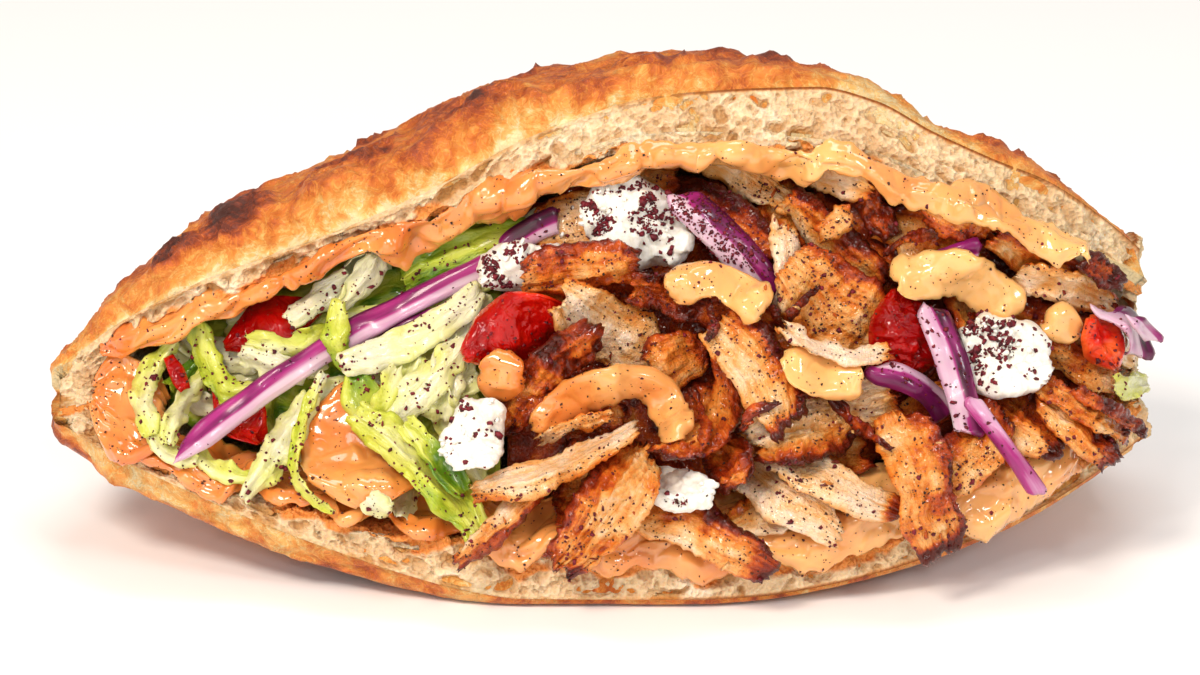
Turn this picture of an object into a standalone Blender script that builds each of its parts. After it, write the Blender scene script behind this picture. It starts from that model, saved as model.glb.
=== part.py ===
"""Doner kebab sandwich: a cut flatbread pocket, opened along its front and stuffed.

Run with: blender --background --python part.py

The sandwich stands on its underside, +Z up, with its mouth towards -Y and its length along X.
All sizes are in millimetres until a mesh is made. The filling is described on the mouth plane,
which leans back from the lower lip: x runs along the sandwich, "up" runs up that plane and "out"
stands out of it, towards whoever bites. Every piece of filling is laid on what is already there,
so the pieces rest on each other and never share space.
"""

import math
import random

import bmesh
import bpy
import numpy as np
from mathutils import Matrix, Vector

MM = 0.001

# Driving dimensions
LEAN = math.radians(20)      # how far the mouth plane leans back
PLANE_Y = -48.0              # where that plane meets the floor
LEFT_END = -112.0            # the closed end, before its rounded nose
RIGHT_END = 113.0            # the open end
KEEL_FLAT = 25.0             # half length of the flat underside
KEEL_RISE = 23.0             # how far the underside has risen at the ends
KEEL_POWER = 1.7
SLOPE_BULGE = 0.12           # fullness of the upper bread's back, as a share of its length
CRUST_SAMPLES = 21
CRUMB_SAMPLES = 13
BREAD_RINGS = 17

# The filling's core
HEAP_LEFT = -90.0
HEAP_SPLIT = -20.0           # salad to the left of it, meat to the right
HEAP_RINGS = 17
HEAP_POINTS = 24
HEAP_GAP = 2.0               # clear of the pocket all round
HEAP_TOP_BACK = 16.0         # behind the lips at its top
HEAP_FOOT_BACK = 10.0        # behind the lips at its foot
HEAP_SWELL = 0.07            # forward swelling between the two, as a share of its height
SALAD_FOLDS = 1.6            # relief of the folds on its face
MEAT_FOLDS = 0.8
FOLD_TURNS = (0.62, 0.45)    # how fast they follow each other along and up it, in radians per mm

# The pieces laid on it
GAP = 0.4                    # left between a piece and what it lies on
POCKET_DEPTH = 20.0          # behind the lips, where nothing holds a piece up
UNDER_LIP = 5.0              # kept free under the upper lip for the sauce
STRIP_STEP = 4.5             # length of one segment of a piece
ACROSS = 4                   # points across a piece
SKIN = 0.7                   # least thickness, at a piece's edges
FLOW_DEPTH = 2.0             # how far soft pieces fill the hollows under them

# The long runs of sauce
LOWER_SAUCE = (-97, 103, 3.0)     # from x, to x, thickness
LOWER_SAUCE_RISE = 9.0            # how far it runs up from the lower lip
LOWER_SAUCE_LAP = 3.5             # and over it, before its drips
POOL_THICK = 2.5
UPPER_SAUCE = (-94, 101, 3.2)
UPPER_SAUCE_RISE = 2.0
UPPER_SAUCE_LAP = 5.5

# Bread, as (x, value) pairs along its length. The first three are heights up the mouth plane.
CREST_UP = ((-112, 54), (-100, 68.5), (-85, 79.5), (-65, 89), (-40, 101), (-15, 109.5),
            (15, 115.5), (45, 110.5), (75, 97), (95, 89), (113, 76))
CRUST_EDGE_UP = ((-112, 50), (-100, 58.5), (-85, 66), (-65, 73.5), (-40, 83), (-15, 96.5),
                 (15, 105.5), (45, 107), (75, 94.5), (95, 86.5), (113, 73.5))
CRUMB_EDGE_UP = ((-112, 46), (-100, 53.5), (-85, 60), (-65, 68), (-40, 78), (-15, 87),
                 (15, 94), (45, 92.5), (75, 81), (95, 71), (113, 63))
CREST_BACK = ((-112, 6), (-100, 12), (-65, 19), (-40, 20), (-15, 18), (15, 15), (45, 8), (75, 6),
              (113, 4))
CRUMB_EDGE_OUT = ((-112, -1), (-85, -4), (-40, -4), (-15, -1), (15, 2), (75, 3), (113, 2))
FRONT_Y = ((-112, -20), (-100, -28), (-85, -35), (-65, -41), (-40, -45.5), (-15, -48),
           (15, -48), (45, -45), (75, -38), (95, -29), (113, -14))
BACK_Y = ((-112, 8), (-100, 25), (-85, 37), (-65, 48), (-40, 57), (-15, 62), (15, 63),
          (45, 60), (75, 52), (95, 44), (113, 34))
RIM_HALF = ((-112, 9), (-100, 12), (-65, 16), (0, 17), (60, 17), (113, 15))
LOWER_CORNER = ((-112, 7), (-85, 9), (-60, 8), (-35, 5), (-15, 2.5), (113, 2))
FLOOR_THICK = ((-112, 8.5), (-100, 10), (-85, 12), (-40, 14), (0, 15), (60, 14), (113, 9))
CEILING_THICK = ((-112, 8), (-100, 10), (-60, 13), (0, 16), (60, 16), (113, 13))
POCKET_OPEN = ((-112, 0), (-105, 0), (-98, 0.45), (-88, 1), (113, 1))

COLOURS = {
    "bread": (0.80, 0.50, 0.22),
    "meat": (0.52, 0.26, 0.12),
    "lettuce": (0.66, 0.74, 0.32),
    "onion": (0.42, 0.08, 0.27),
    "tomato": (0.66, 0.05, 0.03),
    "cheese": (0.90, 0.88, 0.82),
    "sauce": (0.90, 0.52, 0.24),
}

# The filling's pieces in the order they are laid. Each kind is numbered in this order:
# kind, start (x, up), end (x, up), width, thickness, sideways bow, roll in degrees
LAID = (
    ("tomato", (-78, 57), (-58, 64), 11, 5, 1, 0),
    ("tomato", (-80, 47), (-70, 34), 10, 4, 0, 10),
    ("lettuce", (-42, 67), (-15, 78), 9, 1.6, 1, 12),
    ("meat", (-13, 77), (8, 84), 14, 3.5, 0, -6),
    ("onion", (-87, 31), (-22, 71), 5, 2.2, 3, 0),
    ("lettuce", (-54, 50), (-25, 66), 6, 1.8, -3, 8),
    ("lettuce", (-51, 40), (-25, 16), 9, 1.6, 2, -10),
    ("onion", (-21, 72), (-9, 80), 5.5, 2.4, 1, 0),
    ("meat", (19, 88), (37, 71), 11, 3.5, 0, 12),
    ("meat", (43, 86), (66, 68), 8, 3.5, 0, -12),
    ("meat", (58, 80), (83, 70), 13, 3.5, 1, -8),
    ("meat", (84, 64), (108, 59), 8, 3.5, -1, 8),
    ("meat", (89, 56), (109, 46), 8, 3.5, -1, 6),
    ("meat", (76, 47), (95, 33), 11, 3.5, 1, -8),
    ("meat", (90, 43), (105, 30), 10, 3.5, 1, 8),
    ("meat", (38, 85), (58, 67), 8.5, 3.5, 0, 10),
    ("cheese", (-3, 75), (18, 79), 17, 7, 1, 0),
    ("onion", (15, 85), (34, 65), 7, 2.4, 1, -15),
    ("cheese", (-25, 69), (-7, 71), 10, 6, 0, 0),
    ("meat", (37, 80), (37, 60), 7, 3.2, 1, 8),
    ("meat", (38, 70), (58, 54), 19, 3.5, 0, 8),
    ("onion", (64, 69), (77, 75), 4.5, 2.2, 0, 0),
    ("meat", (-16, 68), (8, 71), 10, 3.5, 1, -8),
    ("tomato", (-29, 52), (-6, 61), 14, 8, 1, 0),
    ("meat", (-8, 63), (11, 51), 15, 3.5, 0, 8),
    ("meat", (-22, 36), (-1, 57), 10, 3.5, 1, -10),
    ("meat", (66, 25), (82, 40), 13, 3.5, -1, 6),
    ("tomato", (61, 66), (59, 44), 16, 7, 2, 0),
    ("tomato", (101, 60), (107, 49), 10, 6, 0, 0),
    ("lettuce", (105, 46), (115, 46), 6, 3, 0, 0),
    ("onion", (103, 63), (112, 52), 5, 2.2, 3, 0),
    ("meat", (9, 49), (22, 54), 13, 3.5, 0, 4),
    ("meat", (6, 66), (36, 58), 10, 3.5, 1, 10),
    ("meat", (25, 31), (48, 16), 10, 3.5, 0, -8),
    ("meat", (33, 32), (60, 20), 9, 3.5, 0, 8),
    ("meat", (30, 35), (61, 43), 15, 3.5, 1, 8),
    ("meat", (22, 36), (29, 25), 10, 4, 0, 0),
    ("meat", (7, 21), (34, 9), 11, 3.5, 1, -8),
    ("cheese", (10, 25), (22, 24), 10, 6, 0, 0),
    ("meat", (9, 33), (-9, 9), 14, 3.5, 1, 8),
    ("meat", (-8, 31), (-30, 10), 6, 3.2, 1, 0),
    ("meat", (60, 40), (69, 12), 14, 3.5, 1, -6),
    ("meat", (24, 53), (11, 32), 7, 3.5, 8, 8),
    ("meat", (23, 59), (38, 38), 15, 3.5, 2, -10),
    ("meat", (6, 37), (-28, 24), 6.5, 3.5, 2, 6),
    ("cheese", (-25, 29), (-26, 43), 13, 7, 0, 0),
    ("sauce", (-14, 38), (17, 39), 6, 3.5, 6, 0),
    ("sauce", (14, 65), (33, 62), 7, 3.5, 3, 0),
    ("onion", (55, 49), (71, 40), 5, 2.2, 2, 0),
    ("sauce", (60, 67), (85, 62), 8, 3.5, 5, 0),
    ("cheese", (73, 53), (92, 51), 16, 7, 0, 0),
    ("onion", (67, 62), (75, 36), 6, 2.2, 1, 0),
    ("onion", (75, 43), (89, 24), 4.5, 2, 0, 0),
    ("sauce", (39, 47), (55, 46), 9, 3, -1, 0),
)

# How each kind lies: how much it evens out the ground, how uneven its own edge and face are,
# whether it thins to points at its ends, and whether it flows into the hollows under it
KINDS = {
    "meat": (5, 0.16, 0.4, False, False),
    "lettuce": (3, 0.14, 0.4, False, False),
    "onion": (5, 0.05, 0.0, True, False),
    "tomato": (4, 0.06, 0.3, True, False),
    "cheese": (2, 0.16, 1.3, False, True),
    "sauce": (4, 0.10, 0.2, False, True),
}


def smooth_through(knots, values, places):
    """Values read off a smooth curve through the given ones, which never overshoots them."""
    steps = np.diff(knots)
    secants = np.diff(values) / steps
    before, after = secants[:-1], secants[1:]
    same_way = before * after > 0
    total = np.where(same_way, before + after, 1.0)
    inner = np.where(same_way, 2 * before * after / total, 0.0)
    slopes = np.concatenate([secants[:1], inner, secants[-1:]])
    i = np.clip(np.searchsorted(knots, places) - 1, 0, len(steps) - 1)
    t = np.clip((places - knots[i]) / steps[i], 0, 1)
    rise = (values[i + 1] - values[i]) * t * t * (3 - 2 * t)
    lean = slopes[i] * (1 - t) - slopes[i + 1] * t
    return values[i] + rise + lean * steps[i] * t * (1 - t)


def along(curve, x):
    """The value at x of a curve given as (x, value) pairs."""
    knots, values = np.array(curve, float).T
    return float(smooth_through(knots, values, np.array([x], float))[0])


def mouth_to_world(x, up, out):
    """A point given on the mouth plane, in the sandwich's own axes."""
    y = PLANE_Y + up * math.sin(LEAN) - out * math.cos(LEAN)
    z = up * math.cos(LEAN) + out * math.sin(LEAN)
    return x, y, z


def world_to_mouth(x, y, z):
    """A point given in the sandwich's own axes, on the mouth plane."""
    up = (y - PLANE_Y) * math.sin(LEAN) + z * math.cos(LEAN)
    out = -(y - PLANE_Y) * math.cos(LEAN) + z * math.sin(LEAN)
    return x, up, out


def underside(x):
    """Height of the bread's underside: flat in the middle, rising to both ends."""
    beyond = max(0.0, abs(x) - KEEL_FLAT) / (RIGHT_END - KEEL_FLAT)
    return KEEL_RISE * beyond ** KEEL_POWER


def lip_out(x):
    """How far the lips stand out of the mouth plane at x: they draw back at both ends."""
    return world_to_mouth(x, along(FRONT_Y, x), underside(x))[2]


def smooth_line(points, samples):
    """Points along a smooth curve through the given ones, as many between each two of them."""
    control = np.array(points, float)
    lengths = np.linalg.norm(np.diff(control, axis=0), axis=1)
    knots = np.concatenate([[0], np.cumsum(lengths)])
    places = np.interp(np.linspace(0, len(control) - 1, samples), range(len(control)), knots)
    return np.stack([smooth_through(knots, column, places) for column in control.T], axis=1)


# ---------------------------------------------------------------- bread


def mouth_point(x, up, out):
    """(y, z) of a point on the mouth plane."""
    return np.array(mouth_to_world(x, up, out)[1:])


def crust_line(x):
    """Outer outline at x, from the lower lip under and round the back to the upper lip."""
    low, front, back = underside(x), along(FRONT_Y, x), along(BACK_Y, x)
    rim, corner = along(RIM_HALF, x), along(LOWER_CORNER, x)
    lip = mouth_point(x, along(CRUST_EDGE_UP, x), lip_out(x))
    crest = mouth_point(x, along(CREST_UP, x), lip_out(x) - along(CREST_BACK, x))
    shoulder = np.array((back - 0.45 * rim, low + 1.85 * rim))
    chord = crest - shoulder
    outward = np.array((chord[1], -chord[0])) * SLOPE_BULGE
    brow = (crest + lip) / 2 + np.array((-0.18, 0.18)) * np.linalg.norm(crest - lip)
    return [
        (front, low + corner),
        (front + 0.3 * corner, low + 0.3 * corner),
        (front + corner, low),
        (0.5 * (front + back), low),
        (back - 1.1 * rim, low),
        (back - 0.3 * rim, low + 0.35 * rim),
        (back, low + rim),
        tuple(shoulder),
        tuple(shoulder + 0.33 * chord + 0.9 * outward),
        tuple(shoulder + 0.68 * chord + 0.9 * outward),
        tuple(crest),
        tuple(brow),
        tuple(lip),
    ]


def crumb_line(x):
    """Inner outline at x, from the upper lip back round the pocket to the lower lip."""
    low, front, back = underside(x), along(FRONT_Y, x), along(BACK_Y, x)
    rim, floor = along(RIM_HALF, x), low + along(FLOOR_THICK, x)
    ceiling = along(CEILING_THICK, x)
    crust = [np.array(p) for p in crust_line(x)]
    inward = crust[7] - crust[10]
    inward = np.array((inward[1], -inward[0])) / np.linalg.norm(inward) * ceiling
    upper = mouth_point(x, along(CRUMB_EDGE_UP, x), lip_out(x) + along(CRUMB_EDGE_OUT, x))
    lower = np.array((front + 1.0, floor))
    full = [
        upper,
        crust[9] + inward,
        crust[8] + inward,
        np.array((back - rim - 3, low + rim + 4)),
        np.array((back - rim - 9, floor + 1)),
        np.array((0.5 * (front + back), floor)),
        lower,
    ]
    opening = along(POCKET_OPEN, x)
    line = []
    for i, point in enumerate(full):
        face = upper + (lower - upper) * i / (len(full) - 1)
        line.append(tuple(face + (point - face) * opening))
    return line


def bread_ring(x):
    """One closed ring of (x, y, z) points round the bread."""
    ring = [*smooth_line(crust_line(x), CRUST_SAMPLES), *smooth_line(crumb_line(x), CRUMB_SAMPLES)]
    return np.array([(x, y, z) for y, z in ring])


def stations():
    """Where the rings stand along X: close together where the left end turns in."""
    left = [LEFT_END, -109, -105, -101, -96]
    inner = list(np.linspace(-88, 104, BREAD_RINGS))
    return left + inner + [RIGHT_END]


def solid_from_rings(rings, nose=False):
    """A closed mesh from rings of equal count. Both ends are filled, a nose by a fan."""
    mesh = bmesh.new()
    loops = [[mesh.verts.new(Vector(p)) for p in ring] for ring in rings]
    for a, b in zip(loops, loops[1:]):
        for i in range(len(a)):
            j = (i + 1) % len(a)
            mesh.faces.new((a[i], a[j], b[j], b[i]))
    first = mesh.faces.new(loops[0][::-1])
    mesh.faces.new(loops[-1])
    if nose:
        bmesh.ops.poke(mesh, faces=[first])
    bmesh.ops.triangulate(mesh, faces=mesh.faces[:])
    bmesh.ops.recalc_face_normals(mesh, faces=mesh.faces[:])
    return mesh


def shrunk(ring, x, share):
    """A ring moved to x and drawn in to a share of its size about its middle."""
    middle = ring.mean(axis=0)
    result = middle + (ring - middle) * share
    result[:, 0] = x
    return result


def make_bread():
    """The pocket: rings from the rounded nose at the closed end to the open one."""
    rings = [bread_ring(x) for x in stations()]
    nose = [shrunk(rings[0], LEFT_END - 3.4, 0.3), shrunk(rings[0], LEFT_END - 2.2, 0.72)]
    return solid_from_rings(nose + rings, nose=True)


def heap_ring(x, relief):
    """One ring of the filling's core: the pocket's own outline, closed by a swelling front."""
    pocket = smooth_line(crumb_line(x), 4 * CRUMB_SAMPLES)
    centre = pocket.mean(axis=0)
    nearest = np.linalg.norm(pocket - centre, axis=1).min()
    inside = centre + (pocket - centre) * (1 - HEAP_GAP / nearest)
    mouth = [world_to_mouth(x, *p) for p in inside]
    half = len(mouth) // 2
    kept = [p for i, p in enumerate(mouth)
            if p[2] < lip_out(x) - (HEAP_TOP_BACK if i < half else HEAP_FOOT_BACK)]
    top, bottom = kept[0], kept[-1]
    swell = HEAP_SWELL * (top[1] - bottom[1])
    front = []
    for f in np.linspace(0, 1, 11)[1:-1]:
        up = bottom[1] + (top[1] - bottom[1]) * f
        turn = FOLD_TURNS[0] * x + FOLD_TURNS[1] * up
        fold = relief * math.sin(turn) * math.sin(math.pi * f)
        out = bottom[2] + (top[2] - bottom[2]) * f + swell * math.sin(math.pi * f**0.7) + fold
        front.append((x, up, out))
    ring = np.array([mouth_to_world(*p) for p in front + kept])
    return smooth_ring(ring, HEAP_POINTS)


def smooth_ring(ring, count):
    """The same closed outline with points spread evenly along it."""
    closed = np.vstack([ring, ring[:1]])
    along_it = np.concatenate([[0], np.cumsum(np.linalg.norm(np.diff(closed, axis=0), axis=1))])
    places = np.linspace(0, along_it[-1], count + 1)[:-1]
    return np.stack([np.interp(places, along_it, closed[:, k]) for k in range(3)], axis=1)


def make_heap(first, last, relief):
    """A length of the filling's core, which carries the pieces."""
    return solid_from_rings([heap_ring(x, relief) for x in np.linspace(first, last, HEAP_RINGS)])


# ---------------------------------------------------------------- filling


CELL = 0.8
GRID_X = np.arange(-122, 122, CELL)
GRID_UP = np.arange(-6, 126, CELL)


class Pile:
    """How far the filling stands out of the mouth plane, on a fine grid over that plane."""

    def __init__(self):
        depth = [[lip_out(x) - POCKET_DEPTH] for x in GRID_X]
        self.out = np.repeat(depth, len(GRID_UP), axis=1)

    def cells(self, corners):
        """Grid cells under one triangle, and the triangle's own height there."""
        low, high = corners[:, :2].min(axis=0), corners[:, :2].max(axis=0)
        i0, i1 = np.searchsorted(GRID_X, (low[0], high[0]))
        j0, j1 = np.searchsorted(GRID_UP, (low[1], high[1]))
        gx, gu = np.meshgrid(GRID_X[i0:i1], GRID_UP[j0:j1], indexing="ij")
        a, b, c = corners
        area = (b[0] - a[0]) * (c[1] - a[1]) - (c[0] - a[0]) * (b[1] - a[1])
        if gx.size == 0 or abs(area) < 1e-6:
            return None
        s = ((gx - a[0]) * (c[1] - a[1]) - (c[0] - a[0]) * (gu - a[1])) / area
        t = ((b[0] - a[0]) * (gu - a[1]) - (gx - a[0]) * (b[1] - a[1])) / area
        inside = (s >= 0) & (t >= 0) & (s + t <= 1)
        height = a[2] + s * (b[2] - a[2]) + t * (c[2] - a[2])
        return (slice(i0, i1), slice(j0, j1)), inside, height

    def add(self, mesh, from_world=False):
        """Raises the pile to the front of a mesh."""
        for face in mesh.faces:
            corners = np.array([v.co for v in face.verts])
            if from_world:
                corners = np.array([world_to_mouth(*p) for p in corners])
            found = self.cells(corners)
            if found:
                where, inside, height = found
                patch = self.out[where]
                self.out[where] = np.where(inside, np.maximum(patch, height), patch)

    def spread(self, cells=1):
        """The pile's greatest height within so many cells, so that edges are cleared too."""
        ground = self.out
        rows, columns = ground.shape
        for _ in range(cells):
            wide = np.pad(ground, 1, mode="edge")
            shifts = [wide[i:i + rows, j:j + columns] for i in range(3) for j in range(3)]
            ground = np.max(shifts, axis=0)
        return ground

    def clearance(self, mesh, ground):
        """The most that the mesh sinks into the ground anywhere."""
        worst = -1e9
        for face in mesh.faces:
            found = self.cells(np.array([v.co for v in face.verts]))
            if found and found[1].any():
                where, inside, height = found
                worst = max(worst, float((ground[where] - height)[inside].max()))
        return worst


def read(ground, x, up):
    """The height of the ground at the grid cell nearest to a place."""
    i = int(np.clip(round((x - GRID_X[0]) / CELL), 0, len(GRID_X) - 1))
    j = int(np.clip(round((up - GRID_UP[0]) / CELL), 0, len(GRID_UP) - 1))
    return ground[i, j]


def below_lip(point, reach):
    """The same place, lowered where needed so that what reaches up from it clears the lip."""
    x, up = point
    return np.array((x, min(up, along(CRUMB_EDGE_UP, x) - UNDER_LIP - reach)))


def strip_edges(start, end, width, bow, uneven, pointed, noise):
    """Edge points, in pairs, of a strip between two places on the mouth plane."""
    share = abs(end[0] - start[0]) / math.dist(start, end)
    start, end = (below_lip(p, 0.4 * width * share) for p in (start, end))
    length = np.linalg.norm(end - start)
    way = (end - start) / length
    side = np.array((-way[1], way[0]))
    edges = []
    for t in np.linspace(0, 1, max(5, round(length / STRIP_STEP) + 1)):
        centre = start + way * length * t + side * bow * 4 * t * (1 - t)
        if pointed:
            taper = math.sin(math.pi * (0.06 + 0.88 * t))
        else:
            taper = math.sin(math.pi * (0.08 + 0.84 * t)) ** 0.4
        halves = [0.5 * width * taper * (1 + noise.uniform(-uneven, uneven)) for _ in range(2)]
        edges.append((centre - side * halves[0], centre + side * halves[1]))
    return edges


def raise_clear(grid, pile):
    """Lifts single points of a sheet until nothing between them dips into the pile."""
    ground = pile.spread()
    nearby = pile.spread(round(1.3 * STRIP_STEP / CELL))
    highest = np.array([[read(nearby, x, up) + GAP for x, up, _ in row] for row in grid])
    rows, columns = grid.shape[:2]
    corners = [((i, j), (i + 1, j), (i + 1, j + 1)) for i in range(rows - 1)
               for j in range(columns - 1)]
    corners += [((i, j), (i + 1, j + 1), (i, j + 1)) for i in range(rows - 1)
                for j in range(columns - 1)]
    for _ in range(8):
        lift = np.zeros((rows, columns))
        for three in corners:
            found = pile.cells(np.array([grid[c] for c in three]))
            if found and found[1].any():
                where, inside, height = found
                sunk = float((ground[where] - height)[inside].max()) + GAP
                for c in three:
                    lift[c] = max(lift[c], sunk)
        grid[:, :, 2] = np.minimum(grid[:, :, 2] + lift, np.maximum(highest, grid[:, :, 2]))
        if lift.max() < 0.05:
            break


def eased(heights, rounds):
    """Heights evened out towards their neighbours' mean, and never lowered."""
    for _ in range(rounds):
        wide = np.pad(heights, 1, mode="edge")
        mean = (wide[:-2, 1:-1] + wide[2:, 1:-1] + wide[1:-1, :-2] + wide[1:-1, 2:]) / 4
        heights = np.maximum(heights, mean)
    return heights


def draped(edges, thick, kind, roll, noise, pile):
    """A closed sheet between two edge lines that bends over whatever it is laid on."""
    rounds, _, rough, _, flows = KINDS[kind]
    ground = pile.spread(2)
    shares = np.linspace(0, 1, ACROSS)
    back = []
    for one, other in edges:
        row = [one + (other - one) * a for a in shares]
        back.append([(x, up, read(ground, x, up) + GAP) for x, up in row])
    back = np.array(back)
    raise_clear(back, pile)
    crown = eased(back[:, :, 2], rounds)
    width = np.linalg.norm(back[:, -1, :2] - back[:, 0, :2], axis=1)[:, None]
    raised = shares if roll > 0 else 1 - shares
    crown = crown + math.tan(math.radians(abs(roll))) * width * raised[None, :]
    reach = FLOW_DEPTH if flows else 0.0
    back[:, :, 2] = np.maximum(back[:, :, 2], crown - reach)
    dome = np.sin(np.pi * (0.1 + 0.8 * shares))[None, :] ** 0.5
    ends = np.sin(np.pi * np.linspace(0.12, 0.88, len(edges)))[:, None] ** 0.4
    front = back.copy()
    front[:, :, 2] = crown + SKIN + (thick - SKIN) * dome * ends
    for point in front.reshape(-1, 3):
        point[2] += noise.uniform(0, rough)
    return solid_from_rings([[*f, *b[::-1]] for f, b in zip(front, back)])


def places(*values):
    """Each place as an array."""
    return tuple(np.array(v, float) for v in values)


def lower_sauce_edges():
    """Sauce on the lower bread: it laps over the lip in drips and runs in under the filling."""
    edges = []
    for x in np.linspace(*LOWER_SAUCE[:2], 40):
        lip = world_to_mouth(x, along(FRONT_Y, x) + 1, underside(x) + along(FLOOR_THICK, x))[1]
        drip = 3.2 * abs(math.sin(0.115 * x + 0.6)) + 1.6 * math.sin(0.31 * x)
        edges.append(places((x, lip - LOWER_SAUCE_LAP - drip), (x, lip + LOWER_SAUCE_RISE)))
    return edges


def pool_edges():
    """The wide run of sauce that shows between the lettuce strips."""
    edges = []
    for t in np.linspace(0, 1, 9):
        sway = 2.2 * math.sin(9 * t), 2.0 * math.sin(11 * t + 1)
        one = (-62 + 3 * t + sway[0], 46 - 24 * t)
        other = (-39 + 4 * t + sway[1], 47 - 24 * t)
        edges.append(places(one, other))
    return edges


def upper_sauce_edges():
    """Sauce under the upper bread: it hangs from the lip in thick drops."""
    edges = []
    for x in np.linspace(*UPPER_SAUCE[:2], 42):
        lip = along(CRUMB_EDGE_UP, x)
        drop = 2.2 * math.sin(0.16 * x + 1.0) + 1.6 * math.sin(0.41 * x)
        edges.append(places((x, lip - UPPER_SAUCE_LAP - drop), (x, lip + UPPER_SAUCE_RISE)))
    return edges


# ---------------------------------------------------------------- assembly


def clear_scene():
    """Removes whatever the file holds."""
    for obj in list(bpy.data.objects):
        bpy.data.objects.remove(obj, do_unlink=True)


def finish_of(slot):
    """One Principled material for each kind of food."""
    found = bpy.data.materials.get(slot)
    if found:
        return found
    material = bpy.data.materials.new(slot)
    material.use_nodes = True
    shader = material.node_tree.nodes["Principled BSDF"]
    shader.inputs["Base Color"].default_value = (*COLOURS[slot], 1)
    shader.inputs["Roughness"].default_value = 0.35 if slot in ("sauce", "tomato") else 0.6
    shader.inputs["Metallic"].default_value = 0.0
    return material


def add_object(name, slot, mesh, on_mouth):
    """Places a mesh, given in millimetres, as a named object in metres."""
    for v in mesh.verts:
        place = mouth_to_world(*v.co) if on_mouth else v.co
        v.co = Vector(place) * MM
    bmesh.ops.recalc_face_normals(mesh, faces=mesh.faces[:])
    data = bpy.data.meshes.new(name)
    mesh.to_mesh(data)
    mesh.free()
    data.shade_smooth()
    data.set_sharp_from_angle(angle=math.radians(40))
    data.materials.append(finish_of(slot))
    obj = bpy.data.objects.new(name, data)
    bpy.context.scene.collection.objects.link(obj)
    return obj


def lay(name, slot, mesh, pile):
    """Sets a piece down on the pile, then makes it part of the pile."""
    sunk = max(0.0, pile.clearance(mesh, pile.spread()) + GAP)
    for v in mesh.verts:
        v.co.z += sunk
    pile.add(mesh)
    add_object(name, slot, mesh, on_mouth=True)


def lay_filling(pile):
    """Lays every piece of the table on what is there, numbered by kind."""
    counts = dict.fromkeys(KINDS, 0)
    for kind, start, end, width, thick, bow, roll in LAID:
        counts[kind] += 1
        name = f"{kind}_{counts[kind]}"
        noise = random.Random(name)
        _, uneven, _, pointed, _ = KINDS[kind]
        edges = strip_edges(start, end, width, bow, uneven, pointed, noise)
        lay(name, kind, draped(edges, thick, kind, roll, noise, pile), pile)


def pour(name, edges, thick, pile):
    """Lays a long run of sauce."""
    lay(name, "sauce", draped(edges, thick, "sauce", 0, random.Random(name), pile), pile)


def centre_on_origin():
    """Moves every mesh so that the origin is under the middle of the whole sandwich."""
    spots = np.array([v.co for obj in bpy.data.objects for v in obj.data.vertices])
    low, high = spots.min(axis=0), spots.max(axis=0)
    shift = Vector((-(low[0] + high[0]) / 2, -(low[1] + high[1]) / 2, -low[2]))
    for obj in bpy.data.objects:
        obj.data.transform(Matrix.Translation(shift))


def main():
    clear_scene()
    pile = Pile()
    bulk = (
        ("bread", "bread", make_bread()),
        ("lettuce_heap", "lettuce", make_heap(HEAP_LEFT, HEAP_SPLIT - GAP / 2, SALAD_FOLDS)),
        ("meat_heap", "meat", make_heap(HEAP_SPLIT + GAP / 2, RIGHT_END - 1, MEAT_FOLDS)),
    )
    for name, slot, mesh in bulk:
        pile.add(mesh, from_world=True)
        add_object(name, slot, mesh, on_mouth=False)
    pour("sauce_lower", lower_sauce_edges(), LOWER_SAUCE[2], pile)
    pour("sauce_pool", pool_edges(), POOL_THICK, pile)
    lay_filling(pile)
    pour("sauce_upper", upper_sauce_edges(), UPPER_SAUCE[2], pile)
    centre_on_origin()


main()
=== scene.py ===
"""Looks of the doner kebab sandwich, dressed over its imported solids.

Lengths are in millimetres until a piece is finished. The filling is described on the mouth plane,
which leans back from the lower lip: x runs along the sandwich, "up" runs up that plane and "out"
stands out of it. The bread and the filling's pieces follow the same curves as the solids do.
"""

import math
import random

import bmesh
import bpy
import numpy as np
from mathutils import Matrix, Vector


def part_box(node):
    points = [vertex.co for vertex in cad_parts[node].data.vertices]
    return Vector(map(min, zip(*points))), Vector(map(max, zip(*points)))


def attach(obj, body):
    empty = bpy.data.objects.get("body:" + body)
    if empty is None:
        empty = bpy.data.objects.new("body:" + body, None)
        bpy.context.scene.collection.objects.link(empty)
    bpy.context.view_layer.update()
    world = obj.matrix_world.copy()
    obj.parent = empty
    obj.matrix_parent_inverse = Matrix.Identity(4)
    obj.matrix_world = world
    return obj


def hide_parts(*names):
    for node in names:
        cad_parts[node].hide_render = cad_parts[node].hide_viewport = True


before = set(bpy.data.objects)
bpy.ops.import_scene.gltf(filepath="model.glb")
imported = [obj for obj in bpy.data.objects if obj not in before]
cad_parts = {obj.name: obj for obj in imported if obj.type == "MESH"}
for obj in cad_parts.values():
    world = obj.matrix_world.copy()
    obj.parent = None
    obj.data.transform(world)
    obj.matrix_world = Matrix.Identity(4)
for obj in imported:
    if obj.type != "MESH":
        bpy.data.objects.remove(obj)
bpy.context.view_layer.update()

MM = 0.001
LEAN = math.radians(20)      # how far the mouth plane leans back
PLANE_Y = -48.0              # where that plane meets the floor
LEFT_END = -112.0
RIGHT_END = 113.0
NOSE = 3.4                   # length of the rounded closed end
KEEL_FLAT = 25.0
KEEL_RISE = 23.0
KEEL_POWER = 1.7
SLOPE_BULGE = 0.12
HEAP_POINTS = 24
HEAP_GAP = 2.0
HEAP_TOP_BACK = 16.0
HEAP_FOOT_BACK = 10.0
HEAP_SWELL = 0.07
FOLD_TURNS = (0.62, 0.45)
CRUST_SAMPLES = 21
CRUMB_SAMPLES = 13
GAP = 0.4                    # between a piece and what it lies on
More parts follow.
